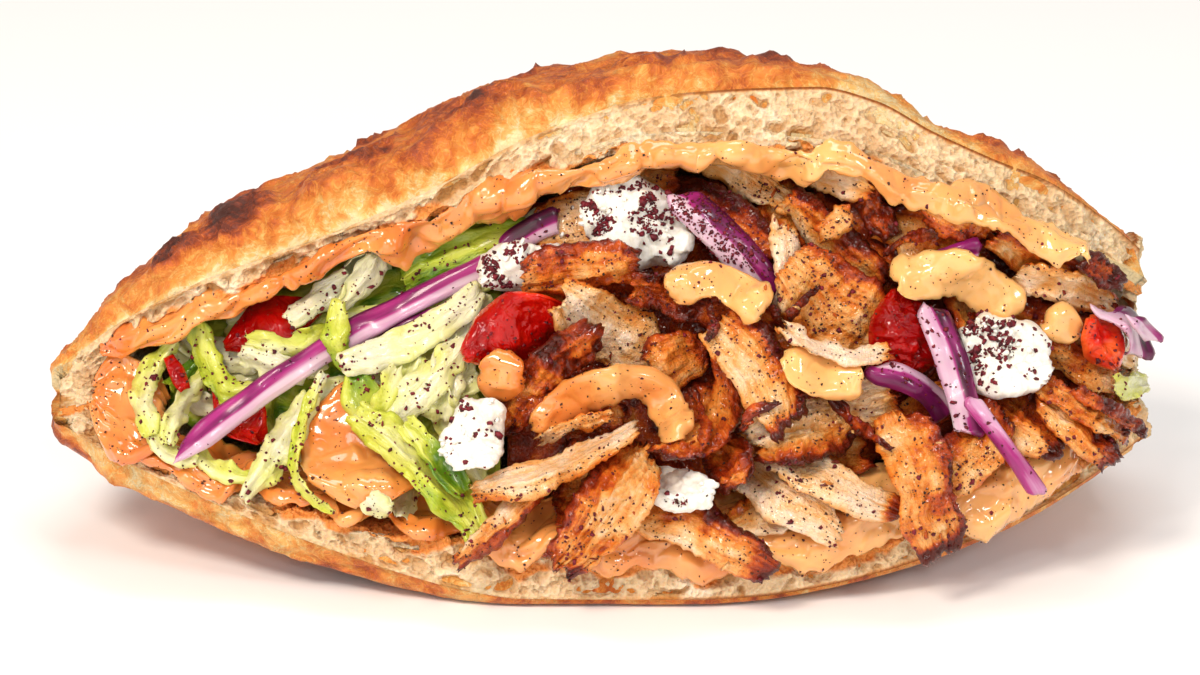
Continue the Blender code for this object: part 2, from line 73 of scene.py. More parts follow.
POCKET_DEPTH = 20.0
UNDER_LIP = 5.0
STRIP_STEP = 4.5
ACROSS = 4
SKIN = 0.7
FLOW_DEPTH = 2.0
LOWER_SAUCE = (-97, 103, 3.0)
LOWER_SAUCE_RISE = 9.0
LOWER_SAUCE_LAP = 3.5
POOL_THICK = 2.5
UPPER_SAUCE = (-94, 101, 3.2)
UPPER_SAUCE_RISE = 2.0
UPPER_SAUCE_LAP = 5.5

# The solids are centred on their box: the left nose and the front lip give how far they moved
BREAD_LOW, BREAD_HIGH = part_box("bread")
SHIFT = np.array((BREAD_LOW.x / MM - (LEFT_END - NOSE), BREAD_LOW.y / MM - PLANE_Y, 0.0))

# Bread, as (x, value) pairs along its length. The first three are heights up the mouth plane.
CREST_UP = ((-112, 54), (-100, 68.5), (-85, 79.5), (-65, 89), (-40, 101), (-15, 109.5),
            (15, 115.5), (45, 110.5), (75, 97), (95, 89), (113, 76))
CRUST_EDGE_UP = ((-112, 50), (-100, 58.5), (-85, 66), (-65, 73.5), (-40, 83), (-15, 96.5),
                 (15, 105.5), (45, 107), (75, 94.5), (95, 86.5), (113, 73.5))
CRUMB_EDGE_UP = ((-112, 46), (-100, 53.5), (-85, 60), (-65, 68), (-40, 78), (-15, 87),
                 (15, 94), (45, 92.5), (75, 81), (95, 71), (113, 63))
CREST_BACK = ((-112, 6), (-100, 12), (-65, 19), (-40, 20), (-15, 18), (15, 15), (45, 8), (75, 6),
              (113, 4))
CRUMB_EDGE_OUT = ((-112, -1), (-85, -4), (-40, -4), (-15, -1), (15, 2), (75, 3), (113, 2))
FRONT_Y = ((-112, -20), (-100, -28), (-85, -35), (-65, -41), (-40, -45.5), (-15, -48),
           (15, -48), (45, -45), (75, -38), (95, -29), (113, -14))
BACK_Y = ((-112, 8), (-100, 25), (-85, 37), (-65, 48), (-40, 57), (-15, 62), (15, 63),
          (45, 60), (75, 52), (95, 44), (113, 34))
RIM_HALF = ((-112, 9), (-100, 12), (-65, 16), (0, 17), (60, 17), (113, 15))
LOWER_CORNER = ((-112, 7), (-85, 9), (-60, 8), (-35, 5), (-15, 2.5), (113, 2))
FLOOR_THICK = ((-112, 8.5), (-100, 10), (-85, 12), (-40, 14), (0, 15), (60, 14), (113, 9))
CEILING_THICK = ((-112, 8), (-100, 10), (-60, 13), (0, 16), (60, 16), (113, 13))
POCKET_OPEN = ((-112, 0), (-105, 0), (-98, 0.45), (-88, 1), (113, 1))

# The solids of the filling in the order they lie. Each kind is numbered in this order:
# kind, start (x, up), end (x, up), width, thickness, sideways bow, roll in degrees
LAID = (
    ("tomato", (-78, 57), (-58, 64), 11, 5, 1, 0),
    ("tomato", (-80, 47), (-70, 34), 10, 4, 0, 10),
    ("lettuce", (-42, 67), (-15, 78), 9, 1.6, 1, 12),
    ("meat", (-13, 77), (8, 84), 14, 3.5, 0, -6),
    ("onion", (-87, 31), (-22, 71), 5, 2.2, 3, 0),
    ("lettuce", (-54, 50), (-25, 66), 6, 1.8, -3, 8),
    ("lettuce", (-51, 40), (-25, 16), 9, 1.6, 2, -10),
    ("onion", (-21, 72), (-9, 80), 5.5, 2.4, 1, 0),
    ("meat", (19, 88), (37, 71), 11, 3.5, 0, 12),
    ("meat", (43, 86), (66, 68), 8, 3.5, 0, -12),
    ("meat", (58, 80), (83, 70), 13, 3.5, 1, -8),
    ("meat", (84, 64), (108, 59), 8, 3.5, -1, 8),
    ("meat", (89, 56), (109, 46), 8, 3.5, -1, 6),
    ("meat", (76, 47), (95, 33), 11, 3.5, 1, -8),
    ("meat", (90, 43), (105, 30), 10, 3.5, 1, 8),
    ("meat", (38, 85), (58, 67), 8.5, 3.5, 0, 10),
    ("cheese", (-3, 75), (18, 79), 17, 7, 1, 0),
    ("onion", (15, 85), (34, 65), 7, 2.4, 1, -15),
    ("cheese", (-25, 69), (-7, 71), 10, 6, 0, 0),
    ("meat", (37, 80), (37, 60), 7, 3.2, 1, 8),
    ("meat", (38, 70), (58, 54), 19, 3.5, 0, 8),
    ("onion", (64, 69), (77, 75), 4.5, 2.2, 0, 0),
    ("meat", (-16, 68), (8, 71), 10, 3.5, 1, -8),
    ("tomato", (-29, 52), (-6, 61), 14, 8, 1, 0),
    ("meat", (-8, 63), (11, 51), 15, 3.5, 0, 8),
    ("meat", (-22, 36), (-1, 57), 10, 3.5, 1, -10),
    ("meat", (66, 25), (82, 40), 13, 3.5, -1, 6),
    ("tomato", (61, 66), (59, 44), 16, 7, 2, 0),
    ("tomato", (101, 60), (107, 49), 10, 6, 0, 0),
    ("lettuce", (105, 46), (115, 46), 6, 3, 0, 0),
    ("onion", (103, 63), (112, 52), 5, 2.2, 3, 0),
    ("meat", (9, 49), (22, 54), 13, 3.5, 0, 4),
    ("meat", (6, 66), (36, 58), 10, 3.5, 1, 10),
    ("meat", (25, 31), (48, 16), 10, 3.5, 0, -8),
    ("meat", (33, 32), (60, 20), 9, 3.5, 0, 8),
    ("meat", (30, 35), (61, 43), 15, 3.5, 1, 8),
    ("meat", (22, 36), (29, 25), 10, 4, 0, 0),
    ("meat", (7, 21), (34, 9), 11, 3.5, 1, -8),
    ("cheese", (10, 25), (22, 24), 10, 6, 0, 0),
    ("meat", (9, 33), (-9, 9), 14, 3.5, 1, 8),
    ("meat", (-8, 31), (-30, 10), 6, 3.2, 1, 0),
    ("meat", (60, 40), (69, 12), 14, 3.5, 1, -6),
    ("meat", (24, 53), (11, 32), 7, 3.5, 8, 8),
    ("meat", (23, 59), (38, 38), 15, 3.5, 2, -10),
    ("meat", (6, 37), (-28, 24), 6.5, 3.5, 2, 6),
    ("cheese", (-25, 29), (-26, 43), 13, 7, 0, 0),
    ("sauce", (-14, 38), (17, 39), 6, 3.5, 6, 0),
    ("sauce", (14, 65), (33, 62), 7, 3.5, 3, 0),
    ("onion", (55, 49), (71, 40), 5, 2.2, 2, 0),
    ("sauce", (60, 67), (85, 62), 8, 3.5, 5, 0),
    ("cheese", (73, 53), (92, 51), 16, 7, 0, 0),
    ("onion", (67, 62), (75, 36), 6, 2.2, 1, 0),
    ("onion", (75, 43), (89, 24), 4.5, 2, 0, 0),
    ("sauce", (39, 47), (55, 46), 9, 3, -1, 0),
)

KINDS = {
    "meat": (5, 0.16, 0.4, False, False),
    "lettuce": (3, 0.14, 0.4, False, False),
    "onion": (5, 0.05, 0.0, True, False),
    "tomato": (4, 0.06, 0.3, True, False),
    "cheese": (2, 0.16, 1.3, False, True),
    "sauce": (4, 0.10, 0.2, False, True),
}


# ---------------------------------------------------------------- noise


def scramble(ix, iy, iz, seed):
    """A number from 0 to 1 for each whole-numbered place, always the same for it."""
    n = (ix * 73856093) ^ (iy * 19349663) ^ (iz * 83492791) ^ (seed * 2654435761)
    n = n & 0xFFFFFFFF
    n = ((n ^ (n >> 15)) * 1274126177) & 0xFFFFFFFF
    n = ((n ^ (n >> 13)) * 1103515245) & 0xFFFFFFFF
    return (n ^ (n >> 16)) / 4294967295.0


def lumps(points, size, seed=0, octaves=1):
    """Smooth noise from about -1 to 1 with lumps of the given size, one number or three."""
    p = np.asarray(points, float) / np.asarray(size, float)
    total, reach = 0.0, 0.0
    for k in range(octaves):
        base = np.floor(p).astype(np.int64)
        f = p - base
        f = f * f * f * (f * (f * 6 - 15) + 10)
        value = 0.0
        for dx in (0, 1):
            wx = f[..., 0] if dx else 1 - f[..., 0]
            for dy in (0, 1):
                wy = f[..., 1] if dy else 1 - f[..., 1]
                for dz in (0, 1):
                    wz = f[..., 2] if dz else 1 - f[..., 2]
                    corner = scramble(base[..., 0] + dx, base[..., 1] + dy, base[..., 2] + dz,
                                      seed + 31 * k)
                    value = value + wx * wy * wz * corner
        total = total + (2 * value - 1) * 0.55**k
        reach += 0.55**k
        p = p * 2.03 + 11.7
    return 1.6 * total / reach


def cells(points, size, seed=0):
    """Distances to the nearest two of scattered seeds, in spacings, and the nearest's own number."""
    p = np.asarray(points, float) / np.asarray(size, float)
    base = np.floor(p).astype(np.int64)
    first = np.full(p.shape[:-1], 9.0)
    second = first.copy()
    owner = np.zeros(p.shape[:-1])
    for dx in (-1, 0, 1):
        for dy in (-1, 0, 1):
            for dz in (-1, 0, 1):
                cell = base + (dx, dy, dz)
                ix, iy, iz = cell[..., 0], cell[..., 1], cell[..., 2]
                far = 0.0
                for axis in range(3):
                    seat = cell[..., axis] + scramble(ix, iy, iz, seed + 7 * axis)
                    far = far + (p[..., axis] - seat) ** 2
                far = np.sqrt(far)
                closer = far < first
                second = np.where(closer, first, np.minimum(second, far))
                owner = np.where(closer, scramble(ix, iy, iz, seed + 101), owner)
                first = np.where(closer, far, first)
    return first, second, owner


def ramp(value, low, high):
    """0 below low, 1 above high and a smooth rise between."""
    t = np.clip((value - low) / (high - low), 0, 1)
    return t * t * (3 - 2 * t)


# ---------------------------------------------------------------- meshes


def flat_points(grid):
    return grid.reshape(-1, grid.shape[-1])


def cross_normals(grid):
    """Unit normals of a grid of points, on the side where its rows turn left to its columns."""
    along_rows = np.gradient(grid, axis=0)
    across = np.gradient(grid, axis=1)
    normal = np.cross(along_rows, across)
    size = np.linalg.norm(normal, axis=-1, keepdims=True)
    return normal / np.maximum(size, 1e-9)


def quads(rows, columns, start=0, wrap=False):
    """Faces of a grid whose points are numbered row by row."""
    i = np.arange(rows - 1)[:, None]
    j = np.arange(columns if wrap else columns - 1)[None, :]
    k = (j + 1) % columns
    a, b = i * columns + j, (i + 1) * columns + j
    c, d = (i + 1) * columns + k, i * columns + k
    return np.stack([a, b, c, d], axis=-1).reshape(-1, 4) + start


def sheet_faces(rows, columns):
    """Faces of two grids of one size, joined round their border."""
    count = rows * columns
    front = quads(rows, columns)
    back = quads(rows, columns)[:, ::-1] + count
    top = np.arange(columns)
    side = np.arange(rows) * columns
    border = np.concatenate([top[:-1], side[:-1] + columns - 1, (rows - 1) * columns + top[:0:-1],
                             side[:0:-1]])
    after = np.roll(border, -1)
    rim = np.stack([border, after, after + count, border + count], axis=-1)
    return np.concatenate([front, back, rim])


def tube_faces(rows, columns):
    """Faces of closed rings one after another, with a fan on a middle point at each end."""
    body = quads(rows, columns, wrap=True)
    j = np.arange(columns)
    k = (j + 1) % columns
    first, last = rows * columns, rows * columns + 1
    end = (rows - 1) * columns
    start_fan = np.stack([np.full(columns, first), j, k], axis=-1)
    end_fan = np.stack([np.full(columns, last), end + k, end + j], axis=-1)
    return body, np.concatenate([start_fan, end_fan])


def facing_out(points, faces):
    """The same faces, turned where the mesh they close is inside out."""
    volume = 0.0
    for group in faces:
        a = points[group[:, 0]]
        for k in range(1, group.shape[1] - 1):
            b, c = points[group[:, k]], points[group[:, k + 1]]
            volume += float(np.einsum("ij,ij->i", a, np.cross(b, c)).sum())
    return [group[:, ::-1] for group in faces] if volume < 0 else faces


def add_piece(name, kind, points, faces, finish, stands_for=(), **marks):
    """A finished piece from points in millimetres; marks are numbers that its finish reads."""
    faces = facing_out(points, faces if isinstance(faces, (list, tuple)) else [faces])
    mesh = bpy.data.meshes.new(name)
    mesh.vertices.add(len(points))
    mesh.vertices.foreach_set("co", ((points + SHIFT) * MM).astype(np.float32).ravel())
    corners = np.concatenate([group.ravel() for group in faces])
    sizes = np.concatenate([np.full(len(group), group.shape[1]) for group in faces])
    mesh.loops.add(len(corners))
    mesh.loops.foreach_set("vertex_index", corners.astype(np.int32))
    mesh.polygons.add(len(sizes))
    mesh.polygons.foreach_set("loop_start", (np.cumsum(sizes) - sizes).astype(np.int32))
    mesh.polygons.foreach_set("loop_total", sizes.astype(np.int32))
    mesh.polygons.foreach_set("use_smooth", np.ones(len(sizes), bool))
    for mark, values in marks.items():
        values = np.asarray(values, np.float32)
        vector = values.ndim > 1 and values.shape[-1] == 3
        layer = mesh.attributes.new(mark, "FLOAT_VECTOR" if vector else "FLOAT", "POINT")
        layer.data.foreach_set("vector" if vector else "value", values.ravel())
    mesh.update(calc_edges=True)
    mesh.validate()
    mesh.materials.append(finish)
    piece = bpy.data.objects.new(name, mesh)
    bpy.context.scene.collection.objects.link(piece)
    if stands_for:
        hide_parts(*stands_for)
    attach(piece, "root")
    return piece


def world_points(mouth):
    """Mouth-plane points, any number of them, in the sandwich's own axes."""
    x, y, z = mouth_to_world(mouth[..., 0], mouth[..., 1], mouth[..., 2])
    return np.stack([x, y, z], axis=-1)


def mouth_points(world):
    x, up, out = world_to_mouth(world[..., 0], world[..., 1], world[..., 2])
    return np.stack([x, up, out], axis=-1)


# ---------------------------------------------------------------- shared curves


def smooth_through(knots, values, at):
    """Values read off smooth curves through the given ones, which never overshoot them."""
    shape = (-1,) + (1,) * (values.ndim - 1)
    steps = np.diff(knots)
    secants = np.diff(values, axis=0) / steps.reshape(shape)
    before, after = secants[:-1], secants[1:]
    same_way = before * after > 0
    total = np.where(same_way, before + after, 1.0)
    inner = np.where(same_way, 2 * before * after / total, 0.0)
    slopes = np.concatenate([secants[:1], inner, secants[-1:]])
    i = np.clip(np.searchsorted(knots, at) - 1, 0, len(steps) - 1)
    t = np.clip((at - knots[i]) / steps[i], 0, 1).reshape(shape)
    rise = (values[i + 1] - values[i]) * t * t * (3 - 2 * t)
    lean = slopes[i] * (1 - t) - slopes[i + 1] * t
    return values[i] + rise + lean * steps[i].reshape(shape) * t * (1 - t)


def along(curve, x):
    """The value at x of a curve given as (x, value) pairs."""
    knots, values = np.array(curve, float).T
    return float(smooth_through(knots, values, np.array([x], float))[0])


def mouth_to_world(x, up, out):
    """A point given on the mouth plane, in the sandwich's own axes."""
    y = PLANE_Y + up * math.sin(LEAN) - out * math.cos(LEAN)
    z = up * math.cos(LEAN) + out * math.sin(LEAN)
    return x, y, z


def world_to_mouth(x, y, z):
    """A point given in the sandwich's own axes, on the mouth plane."""
    up = (y - PLANE_Y) * math.sin(LEAN) + z * math.cos(LEAN)
    out = -(y - PLANE_Y) * math.cos(LEAN) + z * math.sin(LEAN)
    return x, up, out


def underside(x):
    """Height of the bread's underside: flat in the middle, rising to both ends."""
    beyond = max(0.0, abs(x) - KEEL_FLAT) / (RIGHT_END - KEEL_FLAT)
    return KEEL_RISE * beyond ** KEEL_POWER


def lip_out(x):
    """How far the lips stand out of the mouth plane at x: they draw back at both ends."""
    return world_to_mouth(x, along(FRONT_Y, x), underside(x))[2]


def smooth_line(points, samples):
    """Points along a smooth curve through the given ones, as many between each two of them."""
    control = np.array(points, float)
    lengths = np.linalg.norm(np.diff(control, axis=0), axis=1)
    knots = np.concatenate([[0], np.cumsum(lengths)])
    places = np.interp(np.linspace(0, len(control) - 1, samples), range(len(control)), knots)
    return np.stack([smooth_through(knots, column, places) for column in control.T], axis=1)


def mouth_point(x, up, out):
    """(y, z) of a point on the mouth plane."""
    return np.array(mouth_to_world(x, up, out)[1:])


def crust_line(x):
    """Outer outline at x, from the lower lip under and round the back to the upper lip."""
    low, front, back = underside(x), along(FRONT_Y, x), along(BACK_Y, x)
    rim, corner = along(RIM_HALF, x), along(LOWER_CORNER, x)
    lip = mouth_point(x, along(CRUST_EDGE_UP, x), lip_out(x))
    crest = mouth_point(x, along(CREST_UP, x), lip_out(x) - along(CREST_BACK, x))
    shoulder = np.array((back - 0.45 * rim, low + 1.85 * rim))
    chord = crest - shoulder
    outward = np.array((chord[1], -chord[0])) * SLOPE_BULGE
    brow = (crest + lip) / 2 + np.array((-0.18, 0.18)) * np.linalg.norm(crest - lip)
    return [
        (front, low + corner),
        (front + 0.3 * corner, low + 0.3 * corner),
        (front + corner, low),
        (0.5 * (front + back), low),
        (back - 1.1 * rim, low),
        (back - 0.3 * rim, low + 0.35 * rim),
        (back, low + rim),
        tuple(shoulder),
        tuple(shoulder + 0.33 * chord + 0.9 * outward),
        tuple(shoulder + 0.68 * chord + 0.9 * outward),
        tuple(crest),
        tuple(brow),
        tuple(lip),
    ]


def crumb_line(x):
    """Inner outline at x, from the upper lip back round the pocket to the lower lip."""
    low, front, back = underside(x), along(FRONT_Y, x), along(BACK_Y, x)
    rim, floor = along(RIM_HALF, x), low + along(FLOOR_THICK, x)
    ceiling = along(CEILING_THICK, x)
    crust = [np.array(p) for p in crust_line(x)]
    inward = crust[7] - crust[10]
    inward = np.array((inward[1], -inward[0])) / np.linalg.norm(inward) * ceiling
    upper = mouth_point(x, along(CRUMB_EDGE_UP, x), lip_out(x) + along(CRUMB_EDGE_OUT, x))
    lower = np.array((front + 1.0, floor))
    full = [
        upper,
        crust[9] + inward,
        crust[8] + inward,
        np.array((back - rim - 3, low + rim + 4)),
        np.array((back - rim - 9, floor + 1)),
        np.array((0.5 * (front + back), floor)),
        lower,
    ]
    opening = along(POCKET_OPEN, x)
    line = []
    for i, point in enumerate(full):
        face = upper + (lower - upper) * i / (len(full) - 1)
        line.append(tuple(face + (point - face) * opening))
    return line


def solid_from_rings(rings, nose=False):
    """A closed mesh from rings of equal count. Both ends are filled, a nose by a fan."""
    mesh = bmesh.new()
    loops = [[mesh.verts.new(Vector(p)) for p in ring] for ring in rings]
    for a, b in zip(loops, loops[1:]):
        for i in range(len(a)):
            j = (i + 1) % len(a)
            mesh.faces.new((a[i], a[j], b[j], b[i]))
    first = mesh.faces.new(loops[0][::-1])
    mesh.faces.new(loops[-1])
    if nose:
        bmesh.ops.poke(mesh, faces=[first])
    bmesh.ops.triangulate(mesh, faces=mesh.faces[:])
    bmesh.ops.recalc_face_normals(mesh, faces=mesh.faces[:])
    return mesh


def read(ground, x, up):
    """The height of the ground at the grid cell nearest to a place."""
    i = int(np.clip(round((x - GRID_X[0]) / CELL), 0, len(GRID_X) - 1))
    j = int(np.clip(round((up - GRID_UP[0]) / CELL), 0, len(GRID_UP) - 1))
    return ground[i, j]


def below_lip(point, reach):
    """The same place, lowered where needed so that what reaches up from it clears the lip."""
    x, up = point
    return np.array((x, min(up, along(CRUMB_EDGE_UP, x) - UNDER_LIP - reach)))


def strip_edges(start, end, width, bow, uneven, pointed, noise):
    """Edge points, in pairs, of a strip between two places on the mouth plane."""
    share = abs(end[0] - start[0]) / math.dist(start, end)
    start, end = (below_lip(p, 0.4 * width * share) for p in (start, end))
    length = np.linalg.norm(end - start)
    way = (end - start) / length
    side = np.array((-way[1], way[0]))
    edges = []
    for t in np.linspace(0, 1, max(5, round(length / STRIP_STEP) + 1)):
        centre = start + way * length * t + side * bow * 4 * t * (1 - t)
        if pointed:
            taper = math.sin(math.pi * (0.06 + 0.88 * t))
        else:
            taper = math.sin(math.pi * (0.08 + 0.84 * t)) ** 0.4
        halves = [0.5 * width * taper * (1 + noise.uniform(-uneven, uneven)) for _ in range(2)]
        edges.append((centre - side * halves[0], centre + side * halves[1]))
    return edges


def raise_clear(grid, pile):
    """Lifts single points of a sheet until nothing between them dips into the pile."""
    ground = pile.spread()
    nearby = pile.spread(round(1.3 * STRIP_STEP / CELL))
    highest = np.array([[read(nearby, x, up) + GAP for x, up, _ in row] for row in grid])
    rows, columns = grid.shape[:2]
    corners = [((i, j), (i + 1, j), (i + 1, j + 1)) for i in range(rows - 1)
               for j in range(columns - 1)]
    corners += [((i, j), (i + 1, j + 1), (i, j + 1)) for i in range(rows - 1)
                for j in range(columns - 1)]
    for _ in range(8):
        lift = np.zeros((rows, columns))
        for three in corners:
            found = pile.cells(np.array([grid[c] for c in three]))
            if found and found[1].any():
                where, inside, height = found
                sunk = float((ground[where] - height)[inside].max()) + GAP
                for c in three:
                    lift[c] = max(lift[c], sunk)
        grid[:, :, 2] = np.minimum(grid[:, :, 2] + lift, np.maximum(highest, grid[:, :, 2]))
        if lift.max() < 0.05:
            break


def eased(heights, rounds):
    """Heights evened out towards their neighbours' mean, and never lowered."""
    for _ in range(rounds):
        wide = np.pad(heights, 1, mode="edge")
        mean = (wide[:-2, 1:-1] + wide[2:, 1:-1] + wide[1:-1, :-2] + wide[1:-1, 2:]) / 4
        heights = np.maximum(heights, mean)
    return heights


def draped(edges, thick, kind, roll, noise, pile):
    """A closed sheet between two edge lines that bends over whatever it is laid on."""
    rounds, _, rough, _, flows = KINDS[kind]
    ground = pile.spread(2)
    shares = np.linspace(0, 1, ACROSS)
    back = []
    for one, other in edges:
        row = [one + (other - one) * a for a in shares]
        back.append([(x, up, read(ground, x, up) + GAP) for x, up in row])
    back = np.array(back)
    raise_clear(back, pile)
    crown = eased(back[:, :, 2], rounds)
    width = np.linalg.norm(back[:, -1, :2] - back[:, 0, :2], axis=1)[:, None]
    raised = shares if roll > 0 else 1 - shares
    crown = crown + math.tan(math.radians(abs(roll))) * width * raised[None, :]
    reach = FLOW_DEPTH if flows else 0.0
    back[:, :, 2] = np.maximum(back[:, :, 2], crown - reach)
    dome = np.sin(np.pi * (0.1 + 0.8 * shares))[None, :] ** 0.5
    ends = np.sin(np.pi * np.linspace(0.12, 0.88, len(edges)))[:, None] ** 0.4
    front = back.copy()
    front[:, :, 2] = crown + SKIN + (thick - SKIN) * dome * ends
    for point in front.reshape(-1, 3):
        point[2] += noise.uniform(0, rough)
    return front, back


def places(*values):
    """Each place as an array."""
    return tuple(np.array(v, float) for v in values)


def lower_sauce_edges():
    """Sauce on the lower bread: it laps over the lip in drips and runs in under the filling."""
    edges = []
    for x in np.linspace(*LOWER_SAUCE[:2], 40):
        lip = world_to_mouth(x, along(FRONT_Y, x) + 1, underside(x) + along(FLOOR_THICK, x))[1]
        drip = 3.2 * abs(math.sin(0.115 * x + 0.6)) + 1.6 * math.sin(0.31 * x)
        edges.append(places((x, lip - LOWER_SAUCE_LAP - drip), (x, lip + LOWER_SAUCE_RISE)))
    return edges


def pool_edges():
    """The wide run of sauce that shows between the lettuce strips."""
    edges = []
    for t in np.linspace(0, 1, 9):
        sway = 2.2 * math.sin(9 * t), 2.0 * math.sin(11 * t + 1)
        one = (-62 + 3 * t + sway[0], 46 - 24 * t)
        other = (-39 + 4 * t + sway[1], 47 - 24 * t)
        edges.append(places(one, other))
    return edges


def upper_sauce_edges():
    """Sauce under the upper bread: it hangs from the lip in thick drops."""
    edges = []
    for x in np.linspace(*UPPER_SAUCE[:2], 42):
        lip = along(CRUMB_EDGE_UP, x)
        drop = 2.2 * math.sin(0.16 * x + 1.0) + 1.6 * math.sin(0.41 * x)
        edges.append(places((x, lip - UPPER_SAUCE_LAP - drop), (x, lip + UPPER_SAUCE_RISE)))
    return edges


def heap_ring(x, relief):
    """One ring of the filling's core: the pocket's own outline, closed by a swelling front."""
    pocket = smooth_line(crumb_line(x), 4 * CRUMB_SAMPLES)
    centre = pocket.mean(axis=0)
    nearest = np.linalg.norm(pocket - centre, axis=1).min()
    inside = centre + (pocket - centre) * (1 - HEAP_GAP / nearest)
    mouth = [world_to_mouth(x, *p) for p in inside]
    half = len(mouth) // 2
    kept = [p for i, p in enumerate(mouth)
            if p[2] < lip_out(x) - (HEAP_TOP_BACK if i < half else HEAP_FOOT_BACK)]
    top, bottom = kept[0], kept[-1]
    swell = HEAP_SWELL * (top[1] - bottom[1])
    front = []
    for f in np.linspace(0, 1, 11)[1:-1]:
        up = bottom[1] + (top[1] - bottom[1]) * f
        turn = FOLD_TURNS[0] * x + FOLD_TURNS[1] * up
        fold = relief * math.sin(turn) * math.sin(math.pi * f)
        out = bottom[2] + (top[2] - bottom[2]) * f + swell * math.sin(math.pi * f**0.7) + fold
        front.append((x, up, out))
    ring = np.array([mouth_to_world(*p) for p in front + kept])
    return smooth_ring(ring, HEAP_POINTS)


def smooth_ring(ring, count):
    """The same closed outline with points spread evenly along it."""
    closed = np.vstack([ring, ring[:1]])
    along_it = np.concatenate([[0], np.cumsum(np.linalg.norm(np.diff(closed, axis=0), axis=1))])
    places = np.linspace(0, along_it[-1], count + 1)[:-1]
    return np.stack([np.interp(places, along_it, closed[:, k]) for k in range(3)], axis=1)


# ---------------------------------------------------------------- filling, as it lies

CELL = 0.8
GRID_X = np.arange(-122, 122, CELL)
GRID_UP = np.arange(-6, 126, CELL)


class Pile:
    """How far the filling stands out of the mouth plane, on a fine grid over that plane."""

    def __init__(self):
        depth = [[lip_out(x) - POCKET_DEPTH] for x in GRID_X]
        self.out = np.repeat(depth, len(GRID_UP), axis=1)
        self.fronts = []         # name, kind and front of each finished piece

    def cells(self, corners):
        """Grid cells under one triangle, and the triangle's own height there."""
        low, high = corners[:, :2].min(axis=0), corners[:, :2].max(axis=0)
        i0, i1 = np.searchsorted(GRID_X, (low[0], high[0]))
        j0, j1 = np.searchsorted(GRID_UP, (low[1], high[1]))
        gx, gu = np.meshgrid(GRID_X[i0:i1], GRID_UP[j0:j1], indexing="ij")
        a, b, c = corners
        area = (b[0] - a[0]) * (c[1] - a[1]) - (c[0] - a[0]) * (b[1] - a[1])
        if gx.size == 0 or abs(area) < 1e-6:
            return None
        s = ((gx - a[0]) * (c[1] - a[1]) - (c[0] - a[0]) * (gu - a[1])) / area
        t = ((b[0] - a[0]) * (gu - a[1]) - (gx - a[0]) * (b[1] - a[1])) / area
        inside = (s >= 0) & (t >= 0) & (s + t <= 1)
        height = a[2] + s * (b[2] - a[2]) + t * (c[2] - a[2])
        return (slice(i0, i1), slice(j0, j1)), inside, height

    def add(self, triangles):
        """Raises the pile to the front of a solid."""
        for corners in triangles:
            found = self.cells(corners)
            if found:
                where, inside, height = found
                patch = self.out[where]
                self.out[where] = np.where(inside, np.maximum(patch, height), patch)

    def splat(self, points):
        """Raises the pile to a finely meshed surface."""
        i = np.clip(np.round((points[..., 0] - GRID_X[0]) / CELL).astype(int), 0, len(GRID_X) - 1)
        j = np.clip(np.round((points[..., 1] - GRID_UP[0]) / CELL).astype(int), 0, len(GRID_UP) - 1)
        np.maximum.at(self.out, (i.ravel(), j.ravel()), points[..., 2].ravel())

    def spread(self, count=1):
        """The pile's greatest height within so many cells, so that edges are cleared too."""
        ground = self.out
        rows, columns = ground.shape
        for _ in range(count):
            wide = np.pad(ground, 1, mode="edge")
            shifts = [wide[i:i + rows, j:j + columns] for i in range(3) for j in range(3)]
            ground = np.max(shifts, axis=0)
        return ground

    def clearance(self, triangles, ground):
        """The most that a solid sinks into the ground anywhere."""
        worst = -1e9
        for corners in triangles:
            found = self.cells(corners)
            if found and found[1].any():
                where, inside, height = found
                worst = max(worst, float((ground[where] - height)[inside].max()))
        return worst


def node_triangles(name):
    """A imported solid's triangles on the mouth plane."""
    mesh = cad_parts[name].data
    mesh.calc_loop_triangles()
    points = np.empty(len(mesh.vertices) * 3, np.float32)
    mesh.vertices.foreach_get("co", points)
    order = np.empty(len(mesh.loop_triangles) * 3, np.int32)
    mesh.loop_triangles.foreach_get("vertices", order)
    points = mouth_points(points.reshape(-1, 3).astype(float) / MM - SHIFT)
    return points[order.reshape(-1, 3)]


def sheet_triangles(front, back):
    """Triangles of the closed solid between two rows of points."""
    mesh = solid_from_rings([[*f, *b[::-1]] for f, b in zip(front, back)])
    triangles = np.array([[v.co for v in face.verts] for face in mesh.faces])
    mesh.free()
    return triangles


def laid(edges, thick, kind, roll, noise, pile):
    """The front and back of a solid piece where it lies, which then is part of the pile."""
    front, back = draped(edges, thick, kind, roll, noise, pile)
    triangles = sheet_triangles(front, back)
    sunk = max(0.0, pile.clearance(triangles, pile.spread()) + GAP)
    triangles[..., 2] += sunk
    pile.add(triangles)
    lift = np.array((0, 0, sunk))
    return front + lift, back + lift


# ---------------------------------------------------------------- bread

CRUST_STEP = 0.86            # spacing of points along the baked outside
CRUST_ROUND = 250            # points round it, closer together at the lips
CRUMB_STEP = 0.42            # and on the cut face
CRUST_CROWD = 0.35
# Large scorched blisters of the upper crust: x, up, half length, half width and slope
BLISTERS = ((-76, 80, 10, 4.5, 0.5), (-56, 88, 9, 4.0, 0.5), (-47, 95, 8, 3.0, 0.5),
            (-21, 103, 11, 4.5, 0.35), (-2, 107, 9, 3.5, 0.2), (14, 111.5, 12, 3.2, 0.05),
            (36, 110.5, 9, 2.6, -0.2), (-88, 74, 7, 3.0, 0.6), (62, 101, 8, 2.4, -0.45),
            (86, 91, 7, 2.4, -0.4))
FACE_DEPTH = 3.8             # how far behind the cut face the wall of the loaf lies
POCKET_STATIONS = (-112, -109, -105, -101, -96, *np.linspace(-88, 104, 17), 113)


